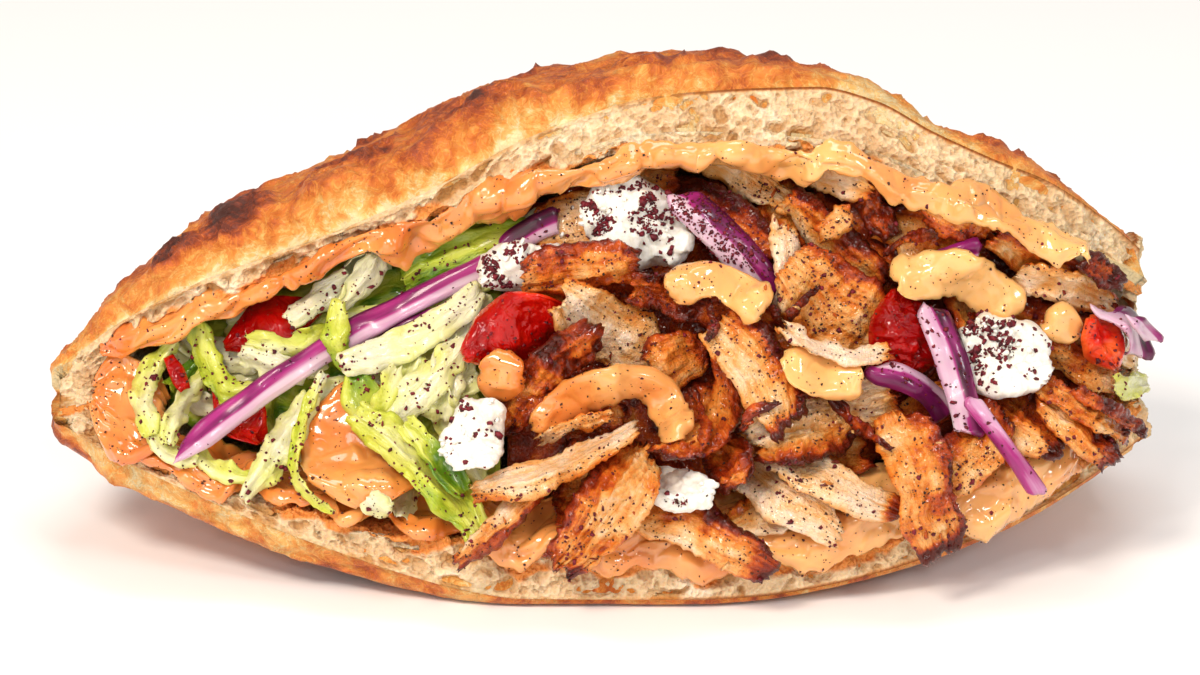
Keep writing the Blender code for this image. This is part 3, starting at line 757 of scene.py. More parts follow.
def resampled(line, count, crowd=0.0):
    """So many points spread along a polyline, evenly or crowded towards its ends."""
    far = np.concatenate([[0], np.cumsum(np.linalg.norm(np.diff(line, axis=0), axis=1))])
    t = np.linspace(0, 1, count)
    at = far[-1] * (t - crowd / (2 * np.pi) * np.sin(2 * np.pi * t))
    return np.stack([np.interp(at, far, column) for column in line.T], axis=1)


def station_lines(line, samples, at):
    """One of the bread's outlines at many places along it: (place, sample, (y, z))."""
    knots = np.array(POCKET_STATIONS, float)
    known = np.array([smooth_line(line(x), samples) for x in knots])
    return smooth_through(knots, known, at)


def with_x(at, lines):
    """(y, z) lines made (x, y, z)."""
    x = np.repeat(at[:, None], lines.shape[1], axis=1)
    return np.concatenate([x[..., None], lines], axis=-1)


def crust_relief(points, up_share):
    """Height of the baked surface: broad dimples, raised blisters and fine wrinkles."""
    broad = lumps(points, 26, 3) * 1.3 + lumps(points, 11, 5) * 0.7
    near, _, number = cells(points + 2.5 * lumps(points, 8, 9)[..., None], (15, 12, 12), 21)
    blister = ramp(0.55 - near, 0, 0.42) * (number > 0.5) * (0.6 + 1.3 * (number - 0.5))
    small, _, chance = cells(points, (6, 5, 5), 44)
    small = ramp(0.5 - small, 0, 0.35) * (chance > 0.6)
    mouth = mouth_points(points)
    for x, up, long, wide, slope in BLISTERS:
        along_it = (mouth[..., 0] - x) + slope * (mouth[..., 1] - up)
        across_it = (mouth[..., 1] - up) - slope * (mouth[..., 0] - x)
        far = np.hypot(along_it / long, across_it / wide) + 0.22 * lumps(points, 5, 10, 2)
        blister = np.maximum(blister, ramp(1.1 - far, 0, 0.55) * (points[..., 1] < 0))
    crease = 0.5 - 1.5 * abs(lumps(points + 1.5 * lumps(points, 5, 6)[..., None], (5.0, 3.0, 3.0), 8))
    fine = lumps(points, 2.0, 7, 2)
    height = broad + 1.4 * blister + 0.5 * small + (0.5 + 0.6 * blister) * crease + 0.26 * fine
    return height * up_share, blister, small


def make_bread(finish):
    """The whole flatbread: baked outside, and the pocket's wall within."""
    at = np.arange(LEFT_END, RIGHT_END - 1.4, CRUST_STEP)
    outer = station_lines(crust_line, 61, at)
    inner = station_lines(crumb_line, 31, at)
    outer = np.array([resampled(line, CRUST_ROUND, CRUST_CROWD) for line in outer])
    inner = np.array([resampled(line, 62) for line in inner])
    rings = with_x(at, np.concatenate([outer, inner], axis=1))
    nose = []
    for far in np.linspace(1, 0, 9)[:-1]:
        share = math.sqrt(max(0.0, 1 - far**2))
        middle = rings[0].mean(axis=0)
        ring = middle + (rings[0] - middle) * (0.25 + 0.75 * share)
        ring[:, 0] = LEFT_END - NOSE * far
        nose.append(ring)
    rings = np.concatenate([np.array(nose), rings])
    columns = rings.shape[1]
    around = np.concatenate([rings[:, -2:], rings, rings[:, :2]], axis=1)
    normal = cross_normals(around)[:, 2:-2]
    middle = rings.mean(axis=1, keepdims=True)
    if np.einsum("ijk,ijk->ij", normal, rings - middle)[:, :CRUST_ROUND].mean() < 0:
        normal = -normal
    t = np.linspace(0, 1, CRUST_ROUND)
    share = np.concatenate([t - CRUST_CROWD / (2 * np.pi) * np.sin(2 * np.pi * t),
                            np.full(columns - CRUST_ROUND, 1.5)])
    place = np.broadcast_to(share, rings.shape[:2])
    outside = place <= 1
    lip_fade = np.minimum(ramp(place, 0.0, 0.03), ramp(1 - place, 0.0, 0.05))
    x, z = rings[..., 0], rings[..., 2]
    underneath = ramp(2.5 - (z - np.vectorize(underside)(x)), 0, 1.5)
    relief, blister, small = crust_relief(rings, 1.0)
    resting = 1 - 0.85 * underneath
    height = np.where(outside, relief * resting * (0.25 + 0.75 * lip_fade) - 0.3, 0)
    # the wall behind the cut face steps back, so that its pores have room
    recess = np.where(outside, 0.0, FACE_DEPTH + 0.8)
    rings = rings + normal * (height - recess)[..., None]
    floor = np.vectorize(underside)(rings[..., 0])
    rings[..., 2] = np.maximum(rings[..., 2], floor + 0.02)
    points = flat_points(rings)
    ends = np.array([rings[0].mean(axis=0) - (0.2, 0, 0), rings[-1].mean(axis=0)])
    body = quads(len(rings), columns, wrap=True)
    j = np.arange(columns)
    k = (j + 1) % columns
    first_fan = np.stack([np.full(columns, len(points)), j, k], axis=-1)
    points = np.concatenate([points, ends[:1]])
    # the open end: from each point of the outside to the wall of the pocket behind it
    across = CRUST_ROUND + np.round((CRUST_ROUND - 1 - j[:CRUST_ROUND])
                                    * (columns - CRUST_ROUND - 1) / (CRUST_ROUND - 1)).astype(int)
    last = np.stack([across[:-1], across[1:], j[1:CRUST_ROUND], j[:CRUST_ROUND - 1]], axis=-1)
    last = last + (len(rings) - 1) * columns
    thin = last[:, 0] == last[:, 1]
    top = ramp(place, 0.52, 0.8) * ramp(1.02 - place, 0, 0.12)
    bake = 0.42 + 0.12 * lumps(rings, 30, 61) + 0.13 * lumps(rings, 9, 62, 2)
    bake = bake + 0.36 * blister * top + 0.2 * small * top + 0.06 * top
    bake = bake + 0.1 * ramp(place, 0.3, 0.5) * ramp(0.75 - place, 0, 0.15)
    edge = np.minimum(place, 1 - place) * 236
    flaky = 0.5 + 0.9 * lumps(rings * (1.0, 0.35, 0.35), 2.6, 71, 3)
    pale = ramp(13 - edge, 0, 11) * np.clip(flaky, 0, 1.1) + 0.8 * ramp(3.5 - edge, 0, 3)
    pale = pale * ramp(place, 0.3, 0.6)
    pale = pale + 0.6 * ramp(lumps(rings, (14, 6, 6), 72, 2), 0.3, 0.9) * top
    bake = bake - 0.26 * pale * (0.35 + 0.65 * ramp(40 - x, 0, 60)) * outside
    low = edge * (place < 0.5) + 100 * (place >= 0.5)
    bake = bake + 0.24 * ramp(low, 7, 14) * ramp(34 - low, 0, 14)
    bake = bake + (0.22 * np.clip(flaky, 0, 1) - 0.2) * ramp(16 - low, 0, 8)
    bake = np.where(outside, bake, 0.0)
    marks = {"bake": flat_points(bake[..., None])[:, 0], "blister": (blister * top).ravel()}
    marks = {key: np.append(value, value[0]) for key, value in marks.items()}
    return add_piece("bread_loaf", "bread", points, [body, first_fan, last[~thin], last[thin, 1:]],
                     finish, ("bread",), **marks)


def pores(a, x, height, seed):
    """Depth of the holes of a torn or cut crumb, and how deep each point sits in one."""
    flat = np.stack([x, a, height], axis=-1)
    flat = flat + 0.8 * lumps(flat, 3.0, seed)[..., None] * (1, 1, 0)
    depth = 0.0
    for size, chance, deep, wide in (((7.5, 4.6, 9), 0.42, 2.8, 0.62), ((3.6, 2.6, 5), 0.66, 1.7, 0.64),
                                     ((1.8, 1.4, 3), 0.76, 1.0, 0.66)):
        near, _, number = cells(flat, size, seed + int(10 * deep))
        hole = ramp(wide - near, 0, 0.34) * (number < chance) * (0.55 + 0.45 * number / chance)
        depth = np.maximum(depth, hole * deep)
    return depth


def make_crumb(name, finish, upper, seed):
    """The cut face of one half of the bread and the first stretch of the pocket behind it."""
    at = np.arange(LEFT_END - 1.0, RIGHT_END - 0.6, CRUMB_STEP)
    knots = np.array(POCKET_STATIONS, float)
    columns, backs = 78, 12
    fronts, rears = [], []
    for place in knots:
        crust = np.array(crust_line(place))
        inner = smooth_line(crumb_line(place), 41)
        lip = crust[-1] if upper else crust[0]
        line = inner if upper else inner[::-1]
        total = np.linalg.norm(np.diff(line, axis=0), axis=1).sum()
        inside = min(15.0 + 35.0 * ramp(place, 84, 104), 0.53 * total)
        reach = np.linalg.norm(line[0] - lip) + inside
        path = resampled(np.concatenate([lip[None], line]), 600)
        whole = np.linalg.norm(np.diff(path, axis=0), axis=1).sum()
        path = path[:max(2, int(600 * reach / whole))]
        fronts.append(resampled(path, columns))
    front = smooth_through(knots, np.array(fronts), np.clip(at, LEFT_END, RIGHT_END))
    soft = front.copy()
    for _ in range(6):
        soft[:, 1:-1] = (soft[:, :-2] + soft[:, 1:-1] + soft[:, 2:]) / 3
    front = with_x(at, soft)
    # the last millimetre rounds in at the closed end
    turn = ramp(LEFT_END + 5 - at, 0, 6)
    normal = cross_normals(front)
    bread_middle = with_x(at, station_lines(crust_line, 61, np.clip(at, LEFT_END, RIGHT_END)))
    bread_middle = bread_middle.mean(axis=1, keepdims=True)
    toward = np.array((0, -1.0, -0.2 if upper else 0.3))
    if (normal[:, :12] @ toward).mean() < 0:
        normal = -normal
    a = np.concatenate([np.zeros((len(at), 1)),
                        np.cumsum(np.linalg.norm(np.diff(front, axis=1), axis=2), axis=1)], axis=1)
    x = front[..., 0]
    depth = pores(a, x, 0 * x, seed)
    edge = ramp(a, 0.2, 1.6)
    rough = 0.45 * lumps(front, 4.5, seed + 3, 2) + 0.2 * lumps(front, 1.3, seed + 4)
    sag = 0.9 * lumps(front, 15, seed + 5)
    nubs = 0.35 - 1.0 * abs(lumps(front, 2.1, seed + 6, 2))
    torn = ramp(-88 - x, 0, 8)
    knobs = 0.6 - 2.0 * abs(lumps(front, 3.2, seed + 9))
    rough = rough + nubs * (0.45 + 1.3 * torn) + 1.1 * knobs * torn
    fade = ramp(a[:, -1:] - a, 0, 3.0)
    height = (rough + sag - depth) * edge * (0.3 + 0.7 * fade) - 1.4 * (1 - fade)
    height = height - 2.6 * turn[:, None]
    # the crust's own edge: a thin, slightly raised line
    height = height + 0.25 * ramp(1.3 - a, 0, 0.6)
    height = np.maximum(height, 0.4 - FACE_DEPTH)
    face = front + normal * height[..., None]
    back = front - normal * FACE_DEPTH
    back[:, 0] = front[:, 0] - normal[:, 4] * 1.6
    back = np.stack([back[:, int(round(k))] for k in np.linspace(0, columns - 1, backs)], axis=1)
    ring = np.concatenate([face, back[:, ::-1]], axis=1)
    body, fans = tube_faces(len(at), ring.shape[1])
    points = np.concatenate([flat_points(ring), [ring[0].mean(axis=0), ring[-1].mean(axis=0)]])
    crust_mark = ramp(1.05 - a, 0, 0.75 if upper else 1.0)
    crust_mark = crust_mark * (0.25 + 0.75 * ramp(x, -10, 30))
    # how deep each point sits in a pore, for the painted shade that darkens it
    pore_shade = ramp(depth - 0.3 * rough, 0.1, 2.0)
    mouth = mouth_points(front)
    if upper:
        over = mouth[..., 1] - np.interp(at, *np.array(CRUMB_EDGE_UP, float).T)[:, None]
        over = over - 1.5
    else:
        over = np.interp(at, *np.array(LOWER_HEM, float).T)[:, None] - 1.5 - mouth[..., 1]
    wander = 2.4 * lumps(front, (7, 4, 4), seed + 8, 3)
    stain = ramp(wander - over + 0.5 - 9 * ramp(-92 - x, 0, 8), 0, 0.9) * ramp(a, 2.0, 3.0)
    zero = np.zeros((len(at), backs))
    marks = {
        "crusty": np.concatenate([crust_mark, zero], axis=1).ravel(),
        "pore_shade": np.concatenate([pore_shade, zero], axis=1).ravel(),
        "stain": np.concatenate([stain, zero], axis=1).ravel(),
    }
    marks = {key: np.append(value, (0, 0)) for key, value in marks.items()}
    return add_piece(name, "bread", points, [body, fans], finish, ("bread",), **marks)


def make_torn_end(finish):
    """The torn crumb across the open right end."""
    outer = resampled(smooth_line(crust_line(RIGHT_END), 121), 420)
    inner = resampled(smooth_line(crumb_line(RIGHT_END), 61)[::-1], 420)
    share = np.linspace(0, 1, 30)[None, :, None]
    yz = outer[:, None] * (1 - share) + inner[:, None] * share
    rows, columns = yz.shape[:2]
    plane = np.concatenate([np.full((rows, columns, 1), RIGHT_END), yz], axis=-1)
    flat = np.stack([yz[..., 0], yz[..., 1], 0 * yz[..., 0]], axis=-1)
    depth = pores(flat[..., 0], flat[..., 1], flat[..., 2], 77)
    wall = np.linalg.norm(yz[:, -1] - yz[:, 0], axis=-1)[:, None]
    from_edge = np.minimum(share[..., 0], 1 - share[..., 0]) * wall
    rim = ramp(from_edge, 0, 1.2)
    torn = 1.3 * lumps(flat, 9, 81) + 1.2 * (0.5 - 1.6 * abs(lumps(flat, 3, 82, 2)))
    plane[..., 0] += (torn - 0.8 * depth) * (0.35 + 0.65 * rim) - 1.0 * (1 - rim)
    back = plane.copy()
    back[..., 0] = RIGHT_END - 4.5
    inward = ramp(from_edge, 0, 3)
    middle = yz.mean(axis=1, keepdims=True)
    back[..., 1:] = middle + (yz - middle) * (0.72 + 0 * inward[..., None])
    crusty = ramp(1.1 - share[..., 0] * wall, 0, 0.8)
    # pore depth again, for the painted shade in the pores of the torn end
    marks = {"crusty": np.concatenate([crusty.ravel(), crusty.ravel() * 0]),
             "pore_shade": np.concatenate([depth.ravel() / 2.5, depth.ravel() * 0])}
    points = np.concatenate([flat_points(plane), flat_points(back)])
    return add_piece("bread_torn_end", "bread", points, sheet_faces(rows, columns), finish,
                     ("bread",), **marks)


# ---------------------------------------------------------------- filling, as it looks

FINE = 0.46                  # spacing of points on a piece of filling


def refined(front, back, step=FINE):
    """Coarse rows drawn out into fine ones along smooth curves, and their mm along and across."""
    both = np.stack([front, back], axis=2)
    far_u = np.linalg.norm(np.diff(front, axis=0), axis=2).mean(axis=1)
    far_v = np.linalg.norm(np.diff(front, axis=1), axis=2).mean(axis=0)
    far_u, far_v = np.concatenate([[0], np.cumsum(far_u)]), np.concatenate([[0], np.cumsum(far_v)])
    u = np.linspace(0, far_u[-1], max(12, round(far_u[-1] / step)))
    v = np.linspace(0, far_v[-1], max(9, round(far_v[-1] / step)))
    fine = smooth_through(far_u, both, u)
    fine = smooth_through(far_v, fine.swapaxes(0, 1), v).swapaxes(0, 1)
    for _ in range(4):
        wide = np.pad(fine, ((1, 1), (1, 1), (0, 0), (0, 0)), mode="edge")
        mean = (wide[:-2, 1:-1] + wide[2:, 1:-1] + wide[1:-1, :-2] + wide[1:-1, 2:]) / 4
        fine[..., 2] = mean[..., 2]
    u, v = np.meshgrid(u, v - far_v[-1] / 2, indexing="ij")
    return fine[:, :, 0], fine[:, :, 1], u, v


class Sheet:
    """A fine piece of filling while it is being shaped."""

    def __init__(self, front, back, seed, step=FINE):
        self.front, self.back, self.u, self.v = refined(front, back, step)
        self.seed = seed
        self.long, self.wide = self.u.max(), self.v.max() - self.v.min()
        self.q = 2 * self.v / self.wide
        self.s = self.u / self.long
        self.flow = np.stack([self.u, self.v, self.u * 0 + 3.7 * (seed % 97)], axis=-1)
        across = self.front[:, -1] - self.front[:, 0]
        across[:, 2] = 0
        self.side = (across / np.linalg.norm(across, axis=1, keepdims=True))[:, None]
        self.way = np.stack([self.side[..., 1], -self.side[..., 0], self.side[..., 0] * 0], axis=-1)
        run = self.front[-1].mean(axis=0) - self.front[0].mean(axis=0)
        if (self.way.mean(axis=(0, 1)) @ run) < 0:
            self.way = -self.way
        self.side_gap = self.wide / 2 - abs(self.v)
        self.end_gap = np.minimum(self.u, self.long - self.u)
        self.edge_gap = np.minimum(self.side_gap, self.end_gap)

    def noise(self, size, salt=0, octaves=1):
        """Lumps that follow the piece: their sizes are along it and across it."""
        along_it, across_it = size if isinstance(size, tuple) else (size, size)
        return lumps(self.flow, (along_it, across_it, 1000.0), self.seed + salt, octaves)

    def edge_wave(self, along_it, salt, tooth):
        """How the outline wanders: broad waves with fine teeth on them."""
        run = self.u if along_it else self.v
        place = np.stack([run, 0 * run, 0 * run + 17.3 * salt], axis=-1)
        broad = lumps(place, (5.0 * tooth, 1, 1), self.seed + salt)
        return 0.75 * broad + 0.4 * lumps(place, (tooth, 1, 1), self.seed + salt + 50, 2)

    def ragged(self, ends, sides, tooth=0.9):
        """Tears the outline: so many mm in and out at its ends and sides."""
        near_start, near_end = np.exp(-self.u / 2.4), np.exp(-(self.long - self.u) / 2.4)
        push = ends * (self.edge_wave(False, 1, tooth) * near_end
                       - self.edge_wave(False, 2, tooth) * near_start)
        wander = np.where(self.q > 0, self.edge_wave(True, 3, tooth), -self.edge_wave(True, 4, tooth))
        shift = self.way * push[..., None] + self.side * (sides * wander * abs(self.q) ** 5)[..., None]
        self.front = self.front + shift
        self.back = self.back + shift

    def reshape_ends(self, blunt, least=1.0):
        """Rounds the ends off so many mm from them, wider or narrower than they were."""
        half = np.linalg.norm((self.front[:, -1] - self.front[:, 0])[:, :2], axis=1) / 2
        t = np.clip((self.end_gap[:, 0] + 0.3) / blunt, 0, 1)
        wanted = half.max() * np.sqrt(1 - (1 - t) ** 2)
        more = np.clip(wanted / half, least, 4) - 1
        for rows in (self.front, self.back):
            middle = (rows[:, :1] + rows[:, -1:]) / 2
            rows += (rows - middle) * (1, 1, 0) * more[:, None, None]

    def pinch(self, radius, least=0.12):
        """Rounds the piece's edge off."""
        t = np.clip(self.edge_gap / radius, 0, 1)
        share = (least + (1 - least) * np.sqrt(1 - (1 - t) ** 2))[..., None]
        middle = self.back + (self.front - self.back) * 0.35
        self.front = middle + (self.front - middle) * share
        self.back = middle + (self.back - middle) * share

    def raise_front(self, height, back_share=0.0):
        normal = cross_normals(self.front)
        if normal[..., 2].mean() < 0:
            normal = -normal
        lift = normal * height[..., None]
        self.front = self.front + lift
        self.back = self.back + lift * back_share

    def finish(self, name, kind, finish, stands_for=(), **marks):
        rows, columns = self.u.shape
        points = world_points(np.concatenate([flat_points(self.front), flat_points(self.back)]))
        doubled = {key: np.concatenate([value.ravel()] * 2) for key, value in marks.items()}
        flow = np.concatenate([flat_points(self.flow)] * 2)
        return add_piece(name, kind, points, sheet_faces(rows, columns), finish, stands_for,
                         flow=flow, **doubled)


# How each slice of meat looks: tone from pale to roasted, how dark its rim is, on which side
# (1 is the left of its run, 2 is both), how dark its far end is, and how much relief it has
MEAT_LOOKS = {
    "meat_1": (0.22, 0.3, 2, 0.1, 0.7), "meat_2": (0.56, 0.6, 2, 0.2, 1.1),
    "meat_3": (0.60, 0.6, 1, 0.2, 1.0), "meat_4": (0.34, 0.7, 1, 0.2, 1.0),
    "meat_5": (0.46, 0.6, 1, 0.1, 1.0), "meat_6": (0.30, 0.4, 1, 0.1, 0.8),
    "meat_7": (0.52, 0.5, 2, 0.3, 1.1), "meat_8": (0.34, 0.8, 1, 0.1, 0.9),
    "meat_9": (0.16, 0.8, 1, 0.1, 0.6), "meat_10": (0.02, 0.0, 2, 0.0, 0.9),
    "meat_11": (0.34, 0.4, 1, 0.1, 1.0), "meat_12": (0.42, 0.5, 1, 0.1, 1.1),
    "meat_13": (0.07, 0.2, 2, 0.0, 1.3), "meat_14": (0.52, 0.4, 2, 0.1, 1.2),
    "meat_15": (0.36, 0.4, 1, 0.2, 0.9), "meat_16": (0.34, 0.3, 1, 0.2, 1.1),
    "meat_17": (0.55, 0.5, 2, 0.1, 1.2), "meat_18": (0.03, 0.1, 1, 0.0, 0.9),
    "meat_19": (0.10, 0.1, 1, 0.6, 0.9), "meat_20": (0.12, 0.9, -1, 0.2, 1.6),
    "meat_21": (0.58, 0.5, 2, 0.1, 1.3), "meat_22": (0.26, 0.9, 1, 0.2, 0.9),
    "meat_23": (0.34, 0.5, -1, 0.1, 1.0), "meat_24": (0.22, 0.6, 1, 0.1, 0.7),
    "meat_25": (0.36, 0.5, 1, 0.55, 1.0), "meat_26": (0.50, 0.4, 1, 0.2, 1.0),
    "meat_27": (0.20, 1.0, 1, 0.1, 0.8), "meat_28": (0.08, 0.25, 1, 0.1, 0.8),
}


def dress_meat(name, sheet, finish, look, stands_for=()):
    """A slice: fine fibres along it, a softly torn outline, and a rim that the fire browned."""
    tone, rim, side, end, relief = look
    sheet.ragged(2.0 - 1.3 * tone, 0.6)
    sheet.pinch(0.9)
    fibre = 0.8 - 2.4 * abs(sheet.noise((9.0, 1.25), 11, 2))
    strand = 0.5 - 1.5 * abs(sheet.noise((12.0, 3.4), 12))
    bumps = 0.5 - 1.6 * abs(sheet.noise(3.0, 13, 2))
    grit = sheet.noise(1.05, 14)
    here = sheet.side_gap if side == 2 else sheet.wide / 2 - side * sheet.v
    here = np.minimum(here, 1.3 * (sheet.long - sheet.u) + 1.5 * (side != 2))
    wander = sheet.noise((4.0, 40.0), 16, 2)
    char = rim * ramp(2.7 + 1.4 * wander - here, 0, 1.4)
    glow = rim * ramp(7.5 + 2.0 * wander - here, 0, 5.0)
    inner = ramp(sheet.edge_gap, 0.1, 1.2)
    patches = sheet.noise(6.5, 15, 2)
    crisp = ramp(sheet.noise(8.0, 17, 2), 0.1, 0.6) * min(1.0, 2.4 * tone)
    height = 0.2 * fibre + 0.34 * strand + (0.16 + 0.5 * tone + 0.3 * crisp) * bumps
    height = height + (0.08 + 0.26 * tone + 0.14 * crisp) * grit
    height = height * relief * (0.3 + 0.7 * inner) + 0.35 * char * (0.6 + grit)
    sheet.raise_front(height, 0.3)
    tip = end * ramp(sheet.u - sheet.long + 5 + 2 * patches, 0, 4)
    edges = 0.12 * ramp(0.8 - sheet.edge_gap, 0, 0.8)
    roast = 0.8 * tone + 0.12 * patches + 0.40 * char + 0.32 * glow + 0.16 * crisp + tip + edges
    roast = roast - 0.06 * fibre - 0.04 * strand - 0.05 * bumps
    return sheet.finish(name, "meat", finish, stands_for, roast=np.clip(roast, 0, 1))


def dress_lettuce(name, sheet, finish, look, stands_for=()):
    """A shred: a thick watery rib with thin, softly waving leaf beside it."""
    green, rib_at, rib_wide, ruffle = look
    narrow = min(1.0, sheet.wide / 5.5)
    sheet.ragged(0.9 * narrow, 0.5 * narrow, 1.6)
    rib = np.exp(-(((sheet.q - rib_at) / rib_wide) ** 2))
    thin = 0.28 + 0.55 * rib
    sheet.front = sheet.back + (sheet.front - sheet.back) * thin[..., None]
    sheet.pinch(0.45, 0.25)
    cup = (1.3, -0.5, 0.6)[sheet.seed % 3] * (sheet.wide / 6) * (sheet.q - rib_at) ** 2
    turn = 2 * math.pi * sheet.u / 11.0 + 2.2 * sheet.noise(11, 21) + sheet.seed
    wave = 0.75 * ruffle * np.sin(turn) * (abs(sheet.q - rib_at) ** 1.5) * (1 - rib)
    ridges = 0.2 - 0.6 * abs(sheet.noise((12, 1.7), 23))
    crinkle = 0.28 - 0.75 * abs(sheet.noise((5.0, 2.6), 22, 2))
    sheet.raise_front(wave + cup + ridges + crinkle * (1 - 0.5 * rib) + 0.4 * abs(wave), 1.0)
    leaf = green + 0.24 * (1 - rib) + 0.10 * sheet.noise(7, 24) - 0.10 * crinkle
    leaf = leaf + 0.2 * (0.3 + green) * sheet.noise((14, 30), 26)
    return sheet.finish(name, "lettuce", finish, stands_for, leaf=np.clip(leaf, 0, 1))


def dress_onion(name, sheet, finish, look, stands_for=()):
    """A cut ring: skin along one side, flesh along the other, a fine line between its layers."""
    side, share, wide, point = look
    sheet.reshape_ends(1.2)
    slim = wide * (1 - 0.65 * np.clip(1 - sheet.u[:, :1] / max(point, 1), 0, 1) ** 1.5)
    for rows in (sheet.front, sheet.back):
        middle = (rows[:, :1] + rows[:, -1:]) / 2
        rows += (rows - middle) * (1, 1, 0) * (slim[..., None] - 1)
    cut = 0.3 * sheet.wide * sheet.q * np.exp(-sheet.end_gap / 2.5)
    for rows in (sheet.front, sheet.back):
        rows += sheet.way * cut[..., None]
    sheet.pinch(0.35, 0.3)
    line = share + 0.05 * sheet.noise((9, 50), 31)
    over = side * sheet.q
    groove = np.exp(-(((over - line) / 0.07) ** 2))
    slope = 0.5 * np.clip(line - over, -0.6, 0.6)
    veins = 0.09 * sheet.noise((14, 0.9), 32)
    sheet.raise_front(0.15 - slope * 0.9 - 0.3 * groove + veins + 0.35 * sheet.noise(12, 35), 0.0)
    deep = {"onion_1": 0.62, "onion_8": 0.50}.get(name, 0.80)
    skin = np.where(over > line, deep + 0.16 * sheet.noise((8, 1.2), 33), 0.14)
    skin = skin - 0.22 * ramp(0.12 - abs(over - line), 0, 0.1) * (over > line)
    skin = skin + 0.12 * sheet.noise((15, 3), 34)
    return sheet.finish(name, "onion", finish, stands_for, skin=np.clip(skin, 0, 1))


def dress_tomato(name, sheet, finish, look, stands_for=()):
    """A piece of tomato: taut wet skin, wrinkled where it was cut."""
    wrinkle, flesh = look
    sheet.ragged(0.5, 0.3, 2.0)
    sheet.pinch(2.6, 0.1)
    body = 0.55 * sheet.noise(6, 41) + (0.12 + 0.55 * wrinkle) * (0.5 - 1.6 * abs(sheet.noise(2.6, 42, 2)))
    sheet.raise_front(body * ramp(sheet.edge_gap, 0, 1.5), 0.0)
    mark = flesh + 0.2 * sheet.noise(5, 43, 2) + 0.25 * ramp(0.8 - sheet.edge_gap, 0, 0.8)
    return sheet.finish(name, "tomato", finish, stands_for, flesh=np.clip(mark, 0, 1))


def dress_cheese(name, sheet, finish, look, stands_for=()):
    """A lump of brined cheese: broken faces, crumbs and small pits, drawn up to a peak."""
    blocky, peak = look
    rise = peak * (1 - abs(sheet.s - 0.34) / 0.5) * (sheet.q + 1) / 2
    for rows in (sheet.front, sheet.back):
        rows += sheet.side * rise[..., None]
    sheet.ragged(1.0, 0.8, 2.2)
    sheet.pinch(1.2, 0.1)
    where = sheet.front * (1, 1, 0.6)
    near, second, number = cells(where, 5.6, sheet.seed + 51)
    facet = (number - 0.5) * 2.6 * ramp(second - near, 0.0, 0.16)
    crumb_near, crumb_second, _ = cells(where + 0.4 * lumps(where, 2, 5)[..., None], 2.1, sheet.seed)
    crumbs = 0.42 * ramp(crumb_second - crumb_near, 0, 0.5)
    fine = 0.2 * lumps(where, 1.3, sheet.seed + 52, 2)
    height = blocky * facet + crumbs + fine + 0.6 * lumps(where, 6, sheet.seed + 53)
    sheet.raise_front(height * (0.3 + 0.7 * ramp(sheet.edge_gap, 0, 1.2)), 0.2)
    return sheet.finish(name, "cheese", finish, stands_for)


def dress_sauce(name, sheet, finish, look, stands_for=()):
    """A run of thick sauce: soft rounded lobes that press against each other."""
    yellow, swell = look
    if sheet.long < 60:
        sheet.reshape_ends(0.55 * sheet.wide, 0.3)
        sheet.ragged(1.4, 1.1, 2.6)
    else:
        sheet.ragged(1.4, 1.7, 2.4)
    sheet.pinch(2.6 if sheet.long > 60 else min(5.0, 0.5 * sheet.wide), 0.03)
    place = sheet.flow * (1, 1, 0) + 2.6 * lumps(sheet.flow, 7, sheet.seed + 60)[..., None]
    near, _, number = cells(place, (7.0, 4.4, 1000), sheet.seed + 61)
    lobe = np.clip(1 - (near / 0.85) ** 2, 0, 1) * (0.5 + 0.9 * number)
    fold = 0.5 - 1.5 * abs(sheet.noise((8.0, 4.0), 65))
    roll = 0.7 * sheet.noise(7.5, 62) + 0.22 * sheet.noise((4.5, 2.0), 63)
    roll = roll + (1.5 * lobe + 0.32 * fold) * (1.0 if sheet.long > 60 else 0.6)
    sheet.raise_front(swell * roll * ramp(sheet.edge_gap, -0.3, 2.6), 0.0)
    # paler and yellower towards the open end
    yellow_and_lobe_shade = yellow + 0.2 * sheet.noise(11, 64) + 0.6 * ramp(sheet.front[..., 0], -25, 55)
    # paler on the lobes and darker in the creases between them: painted shade
    yellow_and_lobe_shade = yellow_and_lobe_shade + 0.16 * (lobe - 0.5)
    return sheet.finish(name, "sauce", finish, stands_for, yellow=np.clip(yellow_and_lobe_shade, 0, 1))


